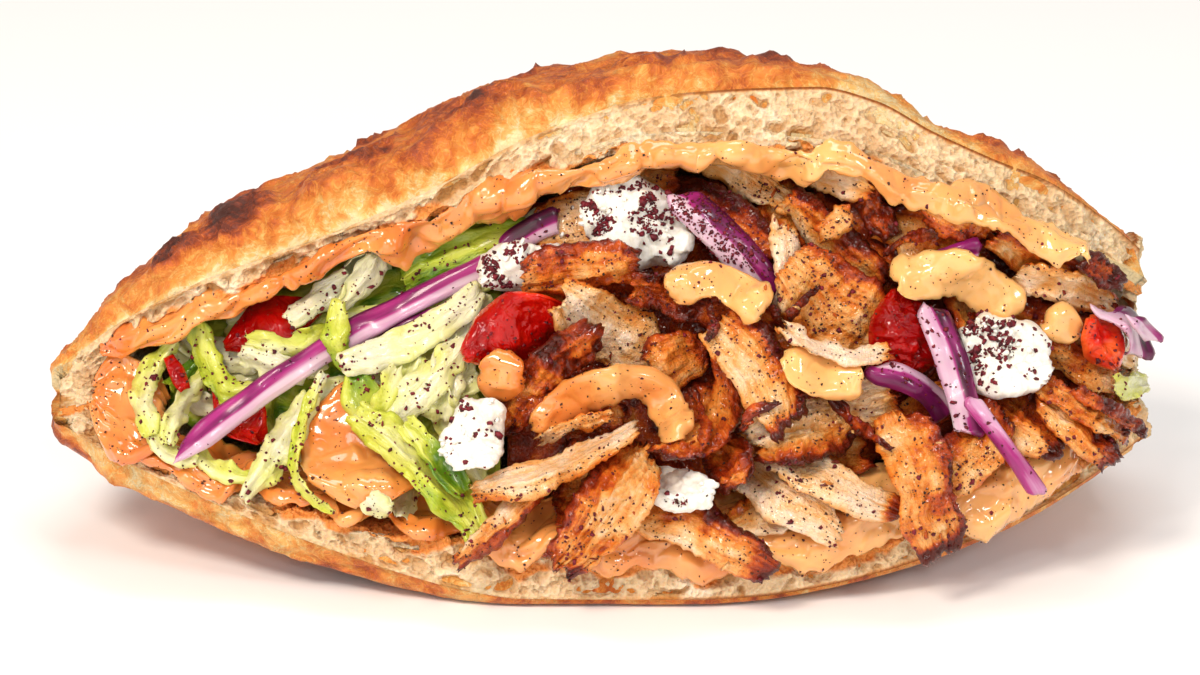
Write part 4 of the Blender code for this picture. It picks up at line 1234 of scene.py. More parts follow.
# Further pieces, too small to be solids of their own, by the solid that they lie on:
# name, kind, path of (x, up), width, thickness, look
FURTHER = {
    "": (
        ("shred_1", "lettuce", ((-88, 56), (-95, 44), (-92, 36)), 5.5, 1.6, (0.32, 0.4, 0.5, 0.8)),
        ("shred_2", "lettuce", ((-81, 53), (-90, 45)), 5, 1.2, (0.72, 0.0, 0.2, 0.9)),
        ("shred_3", "lettuce", ((-81, 50), (-87, 41), (-89, 33)), 4.5, 1.8, (0.14, 0.1, 0.5, 0.5)),
        ("tomato_sliver", "tomato", ((-90, 52), (-86, 45)), 3.5, 2.5, (0.3, 0.1)),
    ),
    "tomato_2": (
        ("shred_4", "lettuce", ((-84, 60), (-82, 52), (-76, 44), (-68, 46)), 6.5, 1.8,
         (0.48, 0.2, 0.5, 0.8)),
        ("shred_5", "lettuce", ((-52, 68), (-65, 59)), 6.5, 2.2, (0.04, 0.0, 0.7, 0.7)),
        ("shred_6", "lettuce", ((-74, 55), (-64, 54), (-55, 58)), 6, 1.6, (0.50, -0.3, 0.4, 1.3)),
        ("shred_7", "lettuce", ((-75, 52), (-62, 48)), 7, 2.4, (0.05, 0.1, 0.7, 0.9)),
        ("shred_8", "lettuce", ((-44, 76), (-37, 70)), 4.5, 1.8, (0.10, 0.0, 0.6, 0.8)),
        ("shred_9", "lettuce", ((-45, 73), (-54, 62)), 6.5, 2.0, (0.06, 0.2, 0.6, 0.7)),
        ("shred_10", "lettuce", ((-60, 44), (-66, 33), (-73, 23)), 7.5, 1.8, (0.14, -0.2, 0.5, 1.0)),
        ("shred_11", "lettuce", ((-38, 52), (-44, 38)), 6, 1.8, (0.30, 0.2, 0.5, 1.0)),
    ),
    "lettuce_1": (
        ("slice_1", "meat", ((2, 88), (16, 89)), 8, 3.0, (0.26, 0.2, 1, 0.2, 1.0)),
        ("slice_2", "meat", ((23, 92), (40, 83)), 8, 3.0, (0.14, 0.2, 1, 0.1, 0.9)),
        ("shred_12", "lettuce", ((-24, 66), (-30, 54), (-33, 39)), 6, 1.6, (0.12, 0.3, 0.5, 0.8)),
        ("ring_1", "onion", ((-46, 55), (-35, 60)), 4, 2.2, (1, -0.6, 1.0, 1)),
    ),
    "onion_1": (
        ("shred_13", "lettuce", ((-54, 63), (-55, 55), (-51, 49)), 5.5, 1.8, (0.42, 0.2, 0.5, 0.6)),
        ("shred_14", "lettuce", ((-51, 49), (-49, 42), (-45, 38)), 7, 1.4, (0.80, -0.8, 0.3, 0.9)),
        ("shred_15", "lettuce", ((-42, 50), (-45, 40)), 4.5, 1.4, (0.40, 0.2, 0.4, 0.8)),
    ),
    "lettuce_2": (
        ("shred_16", "lettuce", ((-28, 55), (-37, 45), (-46, 34)), 8, 1.8, (0.12, 0.2, 0.5, 0.9)),
        ("shred_17", "lettuce", ((-57, 49), (-61, 39), (-63, 30), (-61, 25), (-54, 20)), 2.4, 1.4,
         (0.30, 0.2, 0.6, 0.3)),
    ),
    "lettuce_3": (
        ("shred_18", "lettuce", ((-40, 38), (-34, 31), (-28, 24)), 5, 1.5, (0.55, -0.2, 0.3, 0.8)),
        ("shred_19", "lettuce", ((-48, 23), (-42, 20)), 6, 2.0, (0.08, 0.0, 0.6, 0.8)),
    ),
    "meat_8": (
        ("slice_3", "meat", ((52, 87), (60, 76)), 7, 2.8, (0.52, 0.3, 1, 0.2, 1.2)),
        ("slice_9", "meat", ((40, 91), (54, 86)), 7, 3.0, (0.16, 0.3, 1, 0.1, 0.9)),
        ("slice_10", "meat", ((66, 82), (82, 76)), 8, 3.0, (0.3, 0.4, -1, 0.1, 1.0)),
        ("slice_11", "meat", ((80, 76), (99, 68)), 8, 3.0, (0.36, 0.5, 1, 0.2, 1.1)),
        ("slice_12", "meat", ((84, 69), (96, 66), (107, 62)), 7, 2.8, (0.12, 0.3, 1, 0.1, 0.9)),
        ("slice_13", "meat", ((98, 72), (108, 67)), 6, 2.8, (0.6, 0.5, 2, 0.1, 1.3)),
        ("slice_4", "meat", ((83, 38), (91, 32)), 6, 2.6, (0.22, 0.2, 1, 0.2, 1.0)),
        ("slice_5", "meat", ((88, 47), (110, 35)), 6, 2.6, (0.42, 0.3, 1, 0.2, 1.0)),
        ("slice_6", "meat", ((96, 46), (112, 36)), 3.5, 2.2, (0.58, 0.3, 1, 0.2, 1.0)),
        ("sauce_blob_1", "sauce", ((92, 59), (99, 57)), 8, 3.0, (0.7, 1.0)),
        ("sauce_blob_2", "sauce", ((107, 55), (112, 52)), 5, 2.4, (0.8, 0.8)),
    ),
    "cheese_2": (
        ("slice_7", "meat", ((-1, 75), (6, 62)), 6, 2.6, (0.44, 0.2, 1, 0.1, 1.0)),
        ("slice_8", "meat", ((44, 76), (52, 82)), 6, 2.6, (0.30, 0.2, 1, 0.1, 1.0)),
    ),
    "meat_14": (
        ("sauce_blob_3", "sauce", ((-25, 49), (-16, 47)), 9, 3.2, (0.1, 1.0)),
    ),
    "onion_5": (
        ("ring_2", "onion", ((109, 60), (115, 55)), 3.2, 2.0, (1, 0.5, 1.0, 3)),
    ),
    "sauce_4": (
        ("strip_1", "meat", ((36, 59), (42, 54.5), (51, 52), (60, 53)), 4.2, 2.4,
         (0.03, 0.1, -1, 0.3, 0.8)),
        ("strip_2", "meat", ((-14, 34), (-5, 38), (4, 40)), 3.5, 2.0, (0.10, 0.1, 1, 0.1, 0.8)),
    ),
}

# Pieces laid by chance: how many, half lengths, widths of salad and of meat, and thicknesses
UNDERLAY = (130, (8, 14), ((4, 8), (6, 12)), (1.5, 2.4))     # in the gaps, over the core
LOOSE = (70, (3.5, 7.5), ((1.5, 3.0), (1.2, 2.6)), (0.9, 1.0))   # torn shreds on top
# The runs of sauce that lie on the filling: path, width and thickness
RUNS = {"sauce_1": (((-14, 38), (-1, 45.5), (8, 46.5), (16.5, 37)), 7.5, 3.2),
        "sauce_2": (((13.5, 64), (22, 68), (34, 60)), 8.5, 3.0),
        "sauce_3": (((59.5, 66), (71, 69.5), (85.5, 61)), 8.5, 3.2),
        "sauce_4": (((38, 50.5), (45, 47.5), (54, 46.5)), 8.5, 3.0)}

# Lower edge of the sauce on the lower lip and of that under the upper lip, as (x, up)
LOWER_HEM = ((-101, 33), (-97, 30), (-90, 28.5), (-86, 25.5), (-79, 23.2), (-73, 26), (-66, 22),
             (-58, 20.5), (-52.5, 16), (-46, 18.6), (-36, 13), (-29, 16.5), (-17.4, 9.5), (-10, 12),
             (0, 7.5), (12, 10.5), (21, 7), (31, 10.5), (44.5, 7.4), (56, 12), (66, 16), (77, 14),
             (85, 19.5), (92.6, 23), (101, 29))
UPPER_HEM = ((-104, 52), (-99, 50.5), (-94, 53), (-88, 54), (-82, 58.5), (-77, 58.6), (-71, 63.5),
             (-66, 66.5), (-59.7, 66), (-54, 70.5), (-47, 72.5), (-41.3, 71), (-37, 74.5),
             (-33, 73.5), (-26, 78.5), (-16.8, 81.8), (-10, 85.5), (-2.5, 85.6), (5, 88.5),
             (15, 90.5), (22, 90), (31, 89), (38, 88.3), (42.5, 86.5), (46, 89), (52, 88.5),
             (59.9, 83), (66, 83), (75.2, 80), (84, 77), (89, 73), (94, 70.5), (98, 72), (101, 70))
CORNER_SAUCE = ((-105, 46, 41), (-102, 51, 34), (-99, 54, 30), (-95, 54, 28.5), (-91, 52, 29),
                (-88, 47, 32))
CORNER_FILL = 5.0            # how far behind the lip the sauce in the closed corner lies
POUR_STEP = 2.2
MOST_RAISED = {"onion": 7.0, "tomato": 7.0, "cheese": 6.0}
USUAL_RAISED = 4.5
MOST_UNDERLAID = 2.2         # how much the chance pieces may build up below the others


def drape(flat, thick, pile, rounds, least=-1e9):
    """Front and back of a sheet that is laid on the pile at these places."""
    ground = pile.spread(1)
    i = np.clip(np.round((flat[..., 0] - GRID_X[0]) / CELL).astype(int), 0, len(GRID_X) - 1)
    j = np.clip(np.round((flat[..., 1] - GRID_UP[0]) / CELL).astype(int), 0, len(GRID_UP) - 1)
    rest = eased(np.maximum(ground[i, j], least), rounds)
    back = np.concatenate([flat, rest[..., None] + 0.1], axis=-1)
    return back + (0, 0, thick), back


def raised(front, back, pile, most):
    """A solid's rows, lifted where a further piece already lies higher than they do."""
    ground = pile.spread(1)
    i = np.clip(np.round((back[..., 0] - GRID_X[0]) / CELL).astype(int), 0, len(GRID_X) - 1)
    j = np.clip(np.round((back[..., 1] - GRID_UP[0]) / CELL).astype(int), 0, len(GRID_UP) - 1)
    lift = eased(np.clip(ground[i, j] + 0.1 - back[..., 2], 0, most), 4)
    lift = lift[..., None] * (0, 0, 1)
    return front + lift, back + lift


def draped_path(path, width, thick, pile, noise, rounds=6):
    """Front and back rows of a piece that runs along a path and bends over what it lies on."""
    line = smooth_line(path, 4 * len(path) + 1)
    length = np.linalg.norm(np.diff(line, axis=0), axis=1).sum()
    line = resampled(line, max(5, round(length / 2.4) + 1))
    way = np.gradient(line, axis=0)
    way /= np.linalg.norm(way, axis=1, keepdims=True)
    side = np.stack([-way[:, 1], way[:, 0]], axis=1)
    count = max(4, round(width / 2.4) + 1)
    t = np.linspace(0, 1, len(line))
    taper = np.sin(np.pi * (0.09 + 0.82 * t)) ** 0.45
    half = 0.5 * width * taper * (1 + np.array([noise.uniform(-0.14, 0.14) for _ in t]))
    share = np.linspace(-1, 1, count)
    flat = line[:, None] + side[:, None] * (half[:, None] * share[None])[..., None]
    return drape(flat, thick, pile, rounds)


DRESS = {"meat": dress_meat, "lettuce": dress_lettuce, "onion": dress_onion,
         "tomato": dress_tomato, "cheese": dress_cheese, "sauce": dress_sauce}


def seed_of(name):
    return sum(ord(letter) * (k + 3) for k, letter in enumerate(name)) % 9973


LOOKS = {
    "lettuce_1": (0.50, 0.1, 0.35, 1.0), "lettuce_2": (0.06, 0.0, 0.8, 0.4),
    "lettuce_3": (0.42, -0.1, 0.35, 1.1), "lettuce_4": (0.40, 0.0, 0.8, 0.5),
    "onion_1": (1, -0.2, 1.0, 9), "onion_2": (1, -0.1, 1.0, 2), "onion_3": (1, 0.1, 1.0, 3),
    "onion_4": (1, -0.1, 1.0, 2), "onion_5": (1, 0.3, 1.0, 3), "onion_6": (-1, -0.2, 1.0, 3),
    "onion_7": (1, 0.0, 1.0, 2), "onion_8": (1, -1.2, 0.72, 0),
    "tomato_1": (0.2, 0.05), "tomato_2": (0.3, 0.25), "tomato_3": (0.25, 0.3),
    "tomato_4": (1.0, 0.1), "tomato_5": (0.6, 0.75),
    "cheese_1": (1.2, 6.0), "cheese_2": (0.9, 0.0), "cheese_3": (0.9, 0.0),
    "cheese_4": (0.9, 0.0), "cheese_5": (1.4, 1.0),
    "sauce_1": (0.3, 1.0), "sauce_2": (0.6, 1.0), "sauce_3": (0.7, 1.0), "sauce_4": (0.6, 1.0),
    **MEAT_LOOKS,
}


def dress(name, kind, front, back, look, finishes, pile, stands_for=()):
    """Shapes a piece from its rows, finishes it, and makes it part of the pile."""
    sheet = Sheet(front, back, seed_of(name))
    DRESS[kind](name, sheet, finishes[kind], look, stands_for)
    pile.splat(sheet.front)
    pile.fronts.append((name, kind, sheet.front))


def lay_further(after, finishes, pile):
    for name, kind, path, width, thick, look in FURTHER.get(after, ()):
        noise = random.Random(name)
        front, back = draped_path(path, width, thick, pile, noise)
        dress(name, kind, front, back, look, finishes, pile)


def mouth_area(x):
    """Lowest and highest place of the filling at x."""
    low = world_to_mouth(x, along(FRONT_Y, x) + 1, underside(x) + along(FLOOR_THICK, x))[1]
    return low, along(CRUMB_EDGE_UP, x)


def lay_by_chance(prefix, sizes, finishes, pile):
    """Slices and shreds in random places, meat on the right and salad on the left."""
    count, halves, widths, thicks = sizes
    on_top = prefix == "loose"
    noise = random.Random(prefix)
    before = pile.spread(1)
    for k in range(count):
        x = noise.uniform(-92, 106)
        low, high = mouth_area(x)
        if high - low < 10:
            continue
        up = noise.uniform(low + 3, high - (7 if on_top else 4))
        salad = x < -20 + noise.uniform(-6, 6)
        turn = noise.uniform(0, math.pi)
        half = noise.uniform(*halves) * (0.8 if salad else 1.0)
        reach = np.array((math.cos(turn), math.sin(turn))) * half
        bow = np.array((-reach[1], reach[0])) / half * noise.uniform(-3, 3)
        middle = np.array((x, up))
        path = [middle - reach, middle + bow, middle + reach]
        path = [(float(p[0]), float(np.clip(p[1], low + 2, high - (5 if on_top else 3)))) for p in path]
        if covers_topping(path, pile) if on_top else built_up(path, pile, before):
            continue
        if math.dist(path[0], path[2]) < 6:
            continue
        kind = "lettuce" if salad else "meat"
        width = noise.uniform(*widths[0 if salad else 1])
        if salad:
            look = (noise.choice((0.1, 0.2, 0.35, 0.5)), noise.uniform(-0.4, 0.4), 0.5, 1.0)
        else:
            look = (noise.uniform(0.1, 0.5), 0.55, noise.choice((1, -1, 2)), 0.2, 1.1)
        front, back = draped_path(path, width, thicks[0 if salad else 1], pile, noise)
        name = f"{prefix}_{kind}_{k + 1}"
        dress(name, kind, front, back, look, finishes, pile)


def built_up(path, pile, before):
    """Whether earlier chance pieces already lie where this one would."""
    line = smooth_line(path, 7)
    i = np.clip(np.round((line[:, 0] - GRID_X[0]) / CELL).astype(int), 0, len(GRID_X) - 1)
    j = np.clip(np.round((line[:, 1] - GRID_UP[0]) / CELL).astype(int), 0, len(GRID_UP) - 1)
    return (pile.spread(1) - before)[i, j].max() > MOST_UNDERLAID


def covers_topping(path, pile):
    """Whether a piece would hide onion, tomato, cheese or sauce that lies on top."""
    for _, kind, front in pile.fronts:
        if kind in ("onion", "tomato", "cheese", "sauce"):
            places = front[::3, ::2, :2].reshape(-1, 1, 2)
            if np.linalg.norm(places - smooth_line(path, 9), axis=2).min() < 3.0:
                return True
    return False


def core_surface(first, last, shrink, relief, seed):
    """The heap's core: its solid's own outline, drawn in and covered in fine folds."""
    at = np.arange(first, last, 1.3)
    rings = np.array([resampled(np.vstack([r, r[:1]]), 151)[:-1]
                      for r in (heap_ring(x, 1.0) for x in at)])
    middle = rings.mean(axis=1, keepdims=True)
    outward = rings - middle
    size = np.linalg.norm(outward[..., 1:], axis=-1, keepdims=True)
    folds = 1.2 * lumps(rings, (6, 3, 3), seed, 2) + 0.5 * lumps(rings, 1.6, seed + 1)
    rings = middle + outward * (1 - (shrink - relief * folds[..., None]) / size)
    return rings, folds


def make_core(name, kind, finish, first, last, shrink, marks_of, stands_for):
    rings, folds = core_surface(first, last, shrink, 0.8, seed_of(name))
    body, fans = tube_faces(*rings.shape[:2])
    points = np.concatenate([flat_points(rings), [rings[0].mean(axis=0), rings[-1].mean(axis=0)]])
    extra = {key: np.append(value.ravel(), (0, 0)) for key, value in marks_of(folds).items()}
    flow = points * (1, 1, 0.7)
    add_piece(name, kind, points, [body, fans], finish, (stands_for,), flow=flow, **extra)


def make_cores(finishes):
    # the cores only show in the gaps between pieces, so their darker leaf and roast values are painted
    # shade there
    make_core("lettuce_core", "lettuce", finishes["lettuce"], -90, -20.5, 2.5,
              lambda folds: {"leaf": 0.75 + 0.2 * folds}, "lettuce_heap")
    make_core("meat_core", "meat", finishes["meat"], -19.5, RIGHT_END - 2.5, 2.5,
              lambda folds: {"roast": 0.72 + 0.2 * folds}, "meat_heap")


def pour(name, hem, top, thick, look, pile, finishes, stands_for=(), least=-1e9):
    """A long run of sauce between its lower and its upper edge, laid over what is there."""
    hem, top = np.array(hem), np.array(top)
    at = np.arange(hem[0, 0], hem[-1, 0], POUR_STEP)
    low = smooth_through(hem[:, 0], hem[:, 1:], at)[:, 0]
    high = np.interp(at, top[:, 0], top[:, 1])
    high = high + 1.3 * lumps(np.stack([at, 0 * at, 0 * at], axis=-1), 7.0, seed_of(name), 2)
    share = np.linspace(0, 1, max(5, round(float((high - low).mean()) / POUR_STEP) + 1))
    up = low[:, None] + (high - low)[:, None] * share
    flat = np.stack([np.repeat(at[:, None], len(share), axis=1), up], axis=-1)
    front, back = drape(flat, thick, pile, 8, least)
    sink = 1.5 * ramp(share, 0.6, 1.0)[None, :, None] * (0, 0, 1)
    front, back = front - sink, back - sink
    dress(name, "sauce", front, back, look, finishes, pile, stands_for)


def make_filling(finishes):
    """Every piece of the filling, in the order it lies. The solids are laid along with it."""
    solid_pile = Pile()
    for name in ("bread", "lettuce_heap", "meat_heap"):
        solid_pile.add(node_triangles(name))
    pile = Pile()
    pile.out = solid_pile.out.copy()
    laid(lower_sauce_edges(), LOWER_SAUCE[2], "sauce", 0, random.Random("sauce_lower"), solid_pile)
    lip = [(x, mouth_area(x)[0] + LOWER_SAUCE_RISE) for x, _ in LOWER_HEM]
    pour("sauce_lower", LOWER_HEM, lip, 1.8, (0.15, 1.2), pile, finishes, ("sauce_lower",))
    corner = np.array(CORNER_SAUCE, float)
    behind = lip_out(-95) - CORNER_FILL
    pour("sauce_corner", corner[:, [0, 2]], corner[:, [0, 1]], 1.4, (0.1, 1.3), pile, finishes,
         least=behind)
    lay_by_chance("under", UNDERLAY, finishes, pile)
    pool = pool_edges()
    front, back = laid(pool, POOL_THICK, "sauce", 0, random.Random("sauce_pool"), solid_pile)
    dress("sauce_pool", "sauce", front, back, (0.05, 0.6), finishes, pile, ("sauce_pool",))
    lay_further("", finishes, pile)
    counts = dict.fromkeys(KINDS, 0)
    for kind, start, end, width, thick, bow, roll in LAID:
        counts[kind] += 1
        name = f"{kind}_{counts[kind]}"
        noise = random.Random(name)
        _, uneven, _, pointed, _ = KINDS[kind]
        edges = strip_edges(start, end, width, bow, uneven, pointed, noise)
        front, back = laid(edges, thick, kind, roll, noise, solid_pile)
        if name == "cheese_4":
            lay_by_chance("loose", LOOSE, finishes, pile)
        front, back = raised(front, back, pile, MOST_RAISED.get(kind, USUAL_RAISED))
        if name in RUNS:
            front, back = draped_path(*RUNS[name], pile, noise, 8)
        dress(name, kind, front, back, LOOKS[name], finishes, pile, (name,))
        lay_further(name, finishes, pile)
    lip = [(x, along(CRUMB_EDGE_UP, x) + UPPER_SAUCE_RISE + 4 * ramp(x, 55, 80)) for x, _ in UPPER_HEM]
    pour("sauce_upper", UPPER_HEM, lip, 1.2, (0.1, 1.5), pile, finishes, ("sauce_upper",))
    return pile


# ---------------------------------------------------------------- spice, pepper and crumbs

TOP_CELL = 0.5
TOP_REACH = 1.1              # how far below the highest point nearby a place still counts as open

# Things that lie scattered on the filling, per square centimetre of each kind of piece
SUMAC = {"lettuce": 32, "meat": 15, "cheese": 60, "onion": 12, "tomato": 9, "sauce": 1.5}
SUMAC_HEAVY = {"cheese_1": 230, "cheese_5": 300, "cheese_2": 150, "onion_3": 220, "meat_2": 90,
               "meat_1": 30, "meat_9": 26, "slice_2": 20, "slice_1": 20, "shred_16": 60,
               "shred_5": 60, "shred_7": 50, "shred_9": 50, "shred_8": 50, "lettuce_1": 34,
               "meat_11": 40, "meat_13": 16, "onion_7": 60, "onion_6": 50, "sauce_2": 1.5,
               "meat_8": 16, "tomato_5": 20, "meat_6": 16, "cheese_4": 28, "cheese_3": 24,
               "onion_1": 3}
PEPPER = {"lettuce": 12, "meat": 50, "cheese": 6, "onion": 5, "tomato": 12, "sauce": 20}


def top_places(pile):
    """Places of the filling's fronts that nothing covers: point, normal and piece for each."""
    every = []
    for number, (_, _, front) in enumerate(pile.fronts):
        normal = cross_normals(front)
        if normal[..., 2].mean() < 0:
            normal = -normal
        rows = [flat_points(front), flat_points(normal), np.full((front[..., 0].size, 1), number)]
        every.append(np.concatenate(rows, axis=1))
    every = np.concatenate(every)
    i = np.floor((every[:, 0] - GRID_X[0]) / TOP_CELL).astype(int)
    j = np.floor((every[:, 1] - GRID_UP[0]) / TOP_CELL).astype(int)
    top = np.full((i.max() + 3, j.max() + 3), -1e9)
    np.maximum.at(top, (i + 1, j + 1), every[:, 2])
    rows, columns = top.shape
    wide = np.pad(top, 1, mode="edge")
    top = np.max([wide[a:a + rows, b:b + columns] for a in range(3) for b in range(3)], axis=0)
    open_there = (every[:, 2] > top[i + 1, j + 1] - TOP_REACH) & (every[:, 5] > 0.15)
    return every[open_there]


def chosen_places(places_here, pile, usual, heavy, seed, patch):
    """Random places, as dense as each piece wants them, thicker and thinner in patches."""
    wanted = np.array([heavy.get(name, usual.get(kind, 0)) for name, kind, _ in pile.fronts])
    density = wanted[places_here[:, 6].astype(int)] / 100 * FINE**2
    density = density * np.clip(1 + 0.9 * lumps(places_here[:, :3], patch, seed, 2), 0.15, 2.5)
    for number, (_, kind, front) in enumerate(pile.fronts):
        if kind == "cheese":
            here = places_here[:, 6] == number
            off = (places_here[here, :2] - front[..., :2].mean(axis=(0, 1))) @ (-0.5, 0.8) / 5.0
            clump = 1 + 1.5 * lumps(places_here[here, :3], 3.2, seed + 7)
            density[here] *= np.clip(0.75 + 0.75 * off, 0.12, 2.2) * np.clip(clump, 0.1, 2.2)
    return places_here[np.random.default_rng(seed).random(len(places_here)) < density]


def scatter(name, kind, finish, spots, sizes, seed, length=1.0, flat=0.3, corners=6, **marks):
    """One piece of many small broken flakes, each lying on its own place."""
    noise = np.random.default_rng(seed)
    count = len(spots)
    normal = spots[:, 3:6] + noise.normal(0, 0.22, (count, 3))
    normal /= np.linalg.norm(normal, axis=1, keepdims=True)
    one = np.cross(normal, noise.normal(0, 1, (count, 3)))
    one /= np.linalg.norm(one, axis=1, keepdims=True)
    other = np.cross(normal, one)
    turn = (np.arange(corners) + noise.uniform(-0.4, 0.4, (count, corners))) * 2 * np.pi / corners
    reach = sizes[:, None] / 2 * noise.uniform(0.55, 1.25, (count, corners))
    a = (reach * np.cos(turn) * length)[..., None] * one[:, None]
    b = (reach * np.sin(turn) * noise.uniform(0.5, 1.0, (count, 1)))[..., None] * other[:, None]
    thick = (sizes * flat * noise.uniform(0.7, 1.4, count))[:, None, None] * normal[:, None]
    middle = spots[:, None, :3] + noise.normal(0, 0.1, (count, 1, 3)) * (1, 1, 0)
    low = middle + a + b - 0.25 * thick
    high = middle + (a + b) * noise.uniform(0.5, 0.9, (count, corners, 1)) + thick
    points = world_points(flat_points(np.stack([low, high], axis=1)))
    start = (np.arange(count) * 2 * corners)[:, None]
    ring = np.arange(corners)[None, :]
    after = (ring + 1) % corners
    sides = np.stack([start + ring, start + after, start + after + corners,
                      start + ring + corners], axis=-1).reshape(-1, 4)
    faces = [sides, start + ring[:, ::-1], start + ring + corners]
    marks = {key: np.repeat(value, 2 * corners) for key, value in marks.items()}
    return add_piece(name, kind, points, faces, finish, flow=points, **marks)


def make_spice(finishes, pile):
    """Sumac flakes, ground pepper, crumbs of cheese and loose fibres of meat over the filling."""
    top = top_places(pile)
    noise = np.random.default_rng(5)
    spots = chosen_places(top, pile, SUMAC, SUMAC_HEAVY, 11, 9.0)
    sizes = np.clip(noise.lognormal(-0.45, 0.42, len(spots)), 0.3, 1.8)
    on_cheese = [pile.fronts[int(k)][1] == "cheese" for k in spots[:, 6]]
    sizes = sizes * np.where(on_cheese, 1.35, 1.0)
    scatter("sumac_flakes", "onion", finishes["sumac"], spots, sizes, 12)
    spots = chosen_places(top, pile, PEPPER, {}, 21, 7.0)
    sizes = np.clip(noise.lognormal(-0.95, 0.35, len(spots)), 0.22, 0.8)
    scatter("ground_pepper", "meat", finishes["pepper"], spots, sizes, 22, flat=0.45, corners=5)
    spots = chosen_places(top, pile, {}, {"cheese_1": 12, "cheese_5": 12, "cheese_2": 12,
                                          "cheese_3": 14, "cheese_4": 12, "meat_1": 1}, 31, 5.0)
    sizes = noise.uniform(0.6, 1.8, len(spots))
    scatter("cheese_crumbs", "cheese", finishes["cheese"], spots, sizes, 32, flat=0.6)
    spots = chosen_places(top, pile, {"meat": 1.3, "sauce": 0.2}, {"sauce_upper": 0, "sauce_lower": 0},
                          41, 9.0)
    sizes = noise.uniform(0.5, 1.3, len(spots))
    scatter("meat_crumbs", "meat", finishes["meat"], spots, sizes, 42, length=2.4, flat=0.4,
            roast=noise.uniform(0.15, 0.85, len(spots)))


# ---------------------------------------------------------------- finishes


def colour(code):
    """A colour from its sRGB hex code, as the linear values that the shader takes."""
    parts = [int(code[i:i + 2], 16) / 255 for i in (1, 3, 5)]
    linear = [c / 12.92 if c <= 0.04045 else ((c + 0.055) / 1.055) ** 2.4 for c in parts]
    return (*linear, 1.0)


def node(tree, kind, inputs=None, links=None, stops=None, **settings):
    """Adds a node with its settings, input values, links and, on a ramp, its colour stops."""
    made = tree.nodes.new(kind)
    for key, value in settings.items():
        setattr(made, key, value)
    for key, value in (inputs or {}).items():
        made.inputs[key].default_value = value
    for key, source in (links or {}).items():
        tree.links.new(source, made.inputs[key])
    if stops:
        band = made.color_ramp
        while len(band.elements) < len(stops):
            band.elements.new(0.5)
        for element, (place, code) in zip(band.elements, stops):
            element.position = place
            element.color = colour(code)
    return made


def new_finish(name, **shader_values):
    """A material with one Principled shader; its uniform values sit on the shader itself."""
    material = bpy.data.materials.new(name)
    material.use_nodes = True
    tree = material.node_tree
    shader = tree.nodes["Principled BSDF"]
    for key, value in shader_values.items():
        socket = shader.inputs[key.replace("_", " ")]
        socket.default_value = value
    return material, tree, shader


def mixed(tree, share, first, second, blend="MIX"):
    """The colour between two: a share of the second over the first."""
    made = node(tree, "ShaderNodeMix", data_type="RGBA", blend_type=blend)
    for socket, value in ((0, share), (6, first), (7, second)):
        if isinstance(value, bpy.types.NodeSocket):
            tree.links.new(value, made.inputs[socket])
        else:
            made.inputs[socket].default_value = value
    return made.outputs[2]


def crust_finish():
    """Baked flatbread crust: egg-washed golden skin, browner on its blisters, pale where it tore."""
    material, tree, shader = new_finish("baked_crust", IOR=1.45, Coat_Weight=0.45,
                                        Coat_Roughness=0.2, Specular_IOR_Level=0.4)
    place = node(tree, "ShaderNodeTexCoord").outputs["Object"]
    bake = node(tree, "ShaderNodeAttribute", attribute_name="bake").outputs["Fac"]
    # 4 mm stringy flakes, with creases between them, and 0.7 mm grain of the dried egg wash
    mottle = node(tree, "ShaderNodeTexNoise",
                  {"Scale": 240.0, "Detail": 7.0, "Roughness": 0.66, "Distortion": 1.3},
                  {"Vector": place}).outputs["Fac"]
    string = node(tree, "ShaderNodeTexNoise",
                  {"Scale": 210.0, "Detail": 4.0, "Roughness": 0.55, "Distortion": 2.4},
                  {"Vector": place}).outputs["Fac"]
    off = node(tree, "ShaderNodeMath", {1: 0.5}, {0: string}, operation="SUBTRACT")
    ridge = node(tree, "ShaderNodeMath", links={0: off.outputs[0]}, operation="ABSOLUTE")
    thread = node(tree, "ShaderNodeMapRange", {"From Max": 0.05, "To Min": 1.0, "To Max": 0.0},
                  {"Value": ridge.outputs[0]}).outputs["Result"]
    grain = node(tree, "ShaderNodeTexNoise", {"Scale": 1400.0, "Detail": 3.0}, {"Vector": place})
    shifted = node(tree, "ShaderNodeMath", {1: 0.8}, {0: mottle}, operation="MULTIPLY_ADD")
    tree.links.new(bake, shifted.inputs[2])
    lowered = node(tree, "ShaderNodeMath", {1: 0.4}, {0: shifted.outputs[0]}, operation="SUBTRACT")
    # paler along the thin strings: partly the dough's own pale strings, partly a painted highlight on them
    string_highlighted = node(tree, "ShaderNodeMath", {1: -0.16}, {0: thread}, operation="MULTIPLY_ADD")
    tree.links.new(lowered.outputs[0], string_highlighted.inputs[2])
    tone = node(tree, "ShaderNodeValToRGB", links={"Fac": string_highlighted.outputs[0]}, stops=(
        (0.0, "#F8DFA8"), (0.17, "#F4BC68"), (0.34, "#EB9438"), (0.5, "#DA7220"), (0.66, "#B24C15"),
        (0.82, "#7C2F10"), (0.98, "#4C1E0E"))).outputs["Color"]
    tree.links.new(tone, shader.inputs["Base Color"])
    rough = node(tree, "ShaderNodeMapRange", {"To Min": 0.28, "To Max": 0.6},
                 {"Value": mottle}).outputs["Result"]
    tree.links.new(rough, shader.inputs["Roughness"])
    wrinkle = node(tree, "ShaderNodeBump", {"Strength": 1.0, "Distance": 0.0022}, {"Height": mottle})
    lines = node(tree, "ShaderNodeBump", {"Strength": 0.45, "Distance": 0.0004},
                 {"Height": thread, "Normal": wrinkle.outputs["Normal"]})
    fine = node(tree, "ShaderNodeBump", {"Strength": 0.35, "Distance": 0.0002},
                {"Height": grain.outputs["Fac"], "Normal": lines.outputs["Normal"]})
    tree.links.new(fine.outputs["Normal"], shader.inputs["Normal"])
    tree.links.new(fine.outputs["Normal"], shader.inputs["Coat Normal"])
    return material


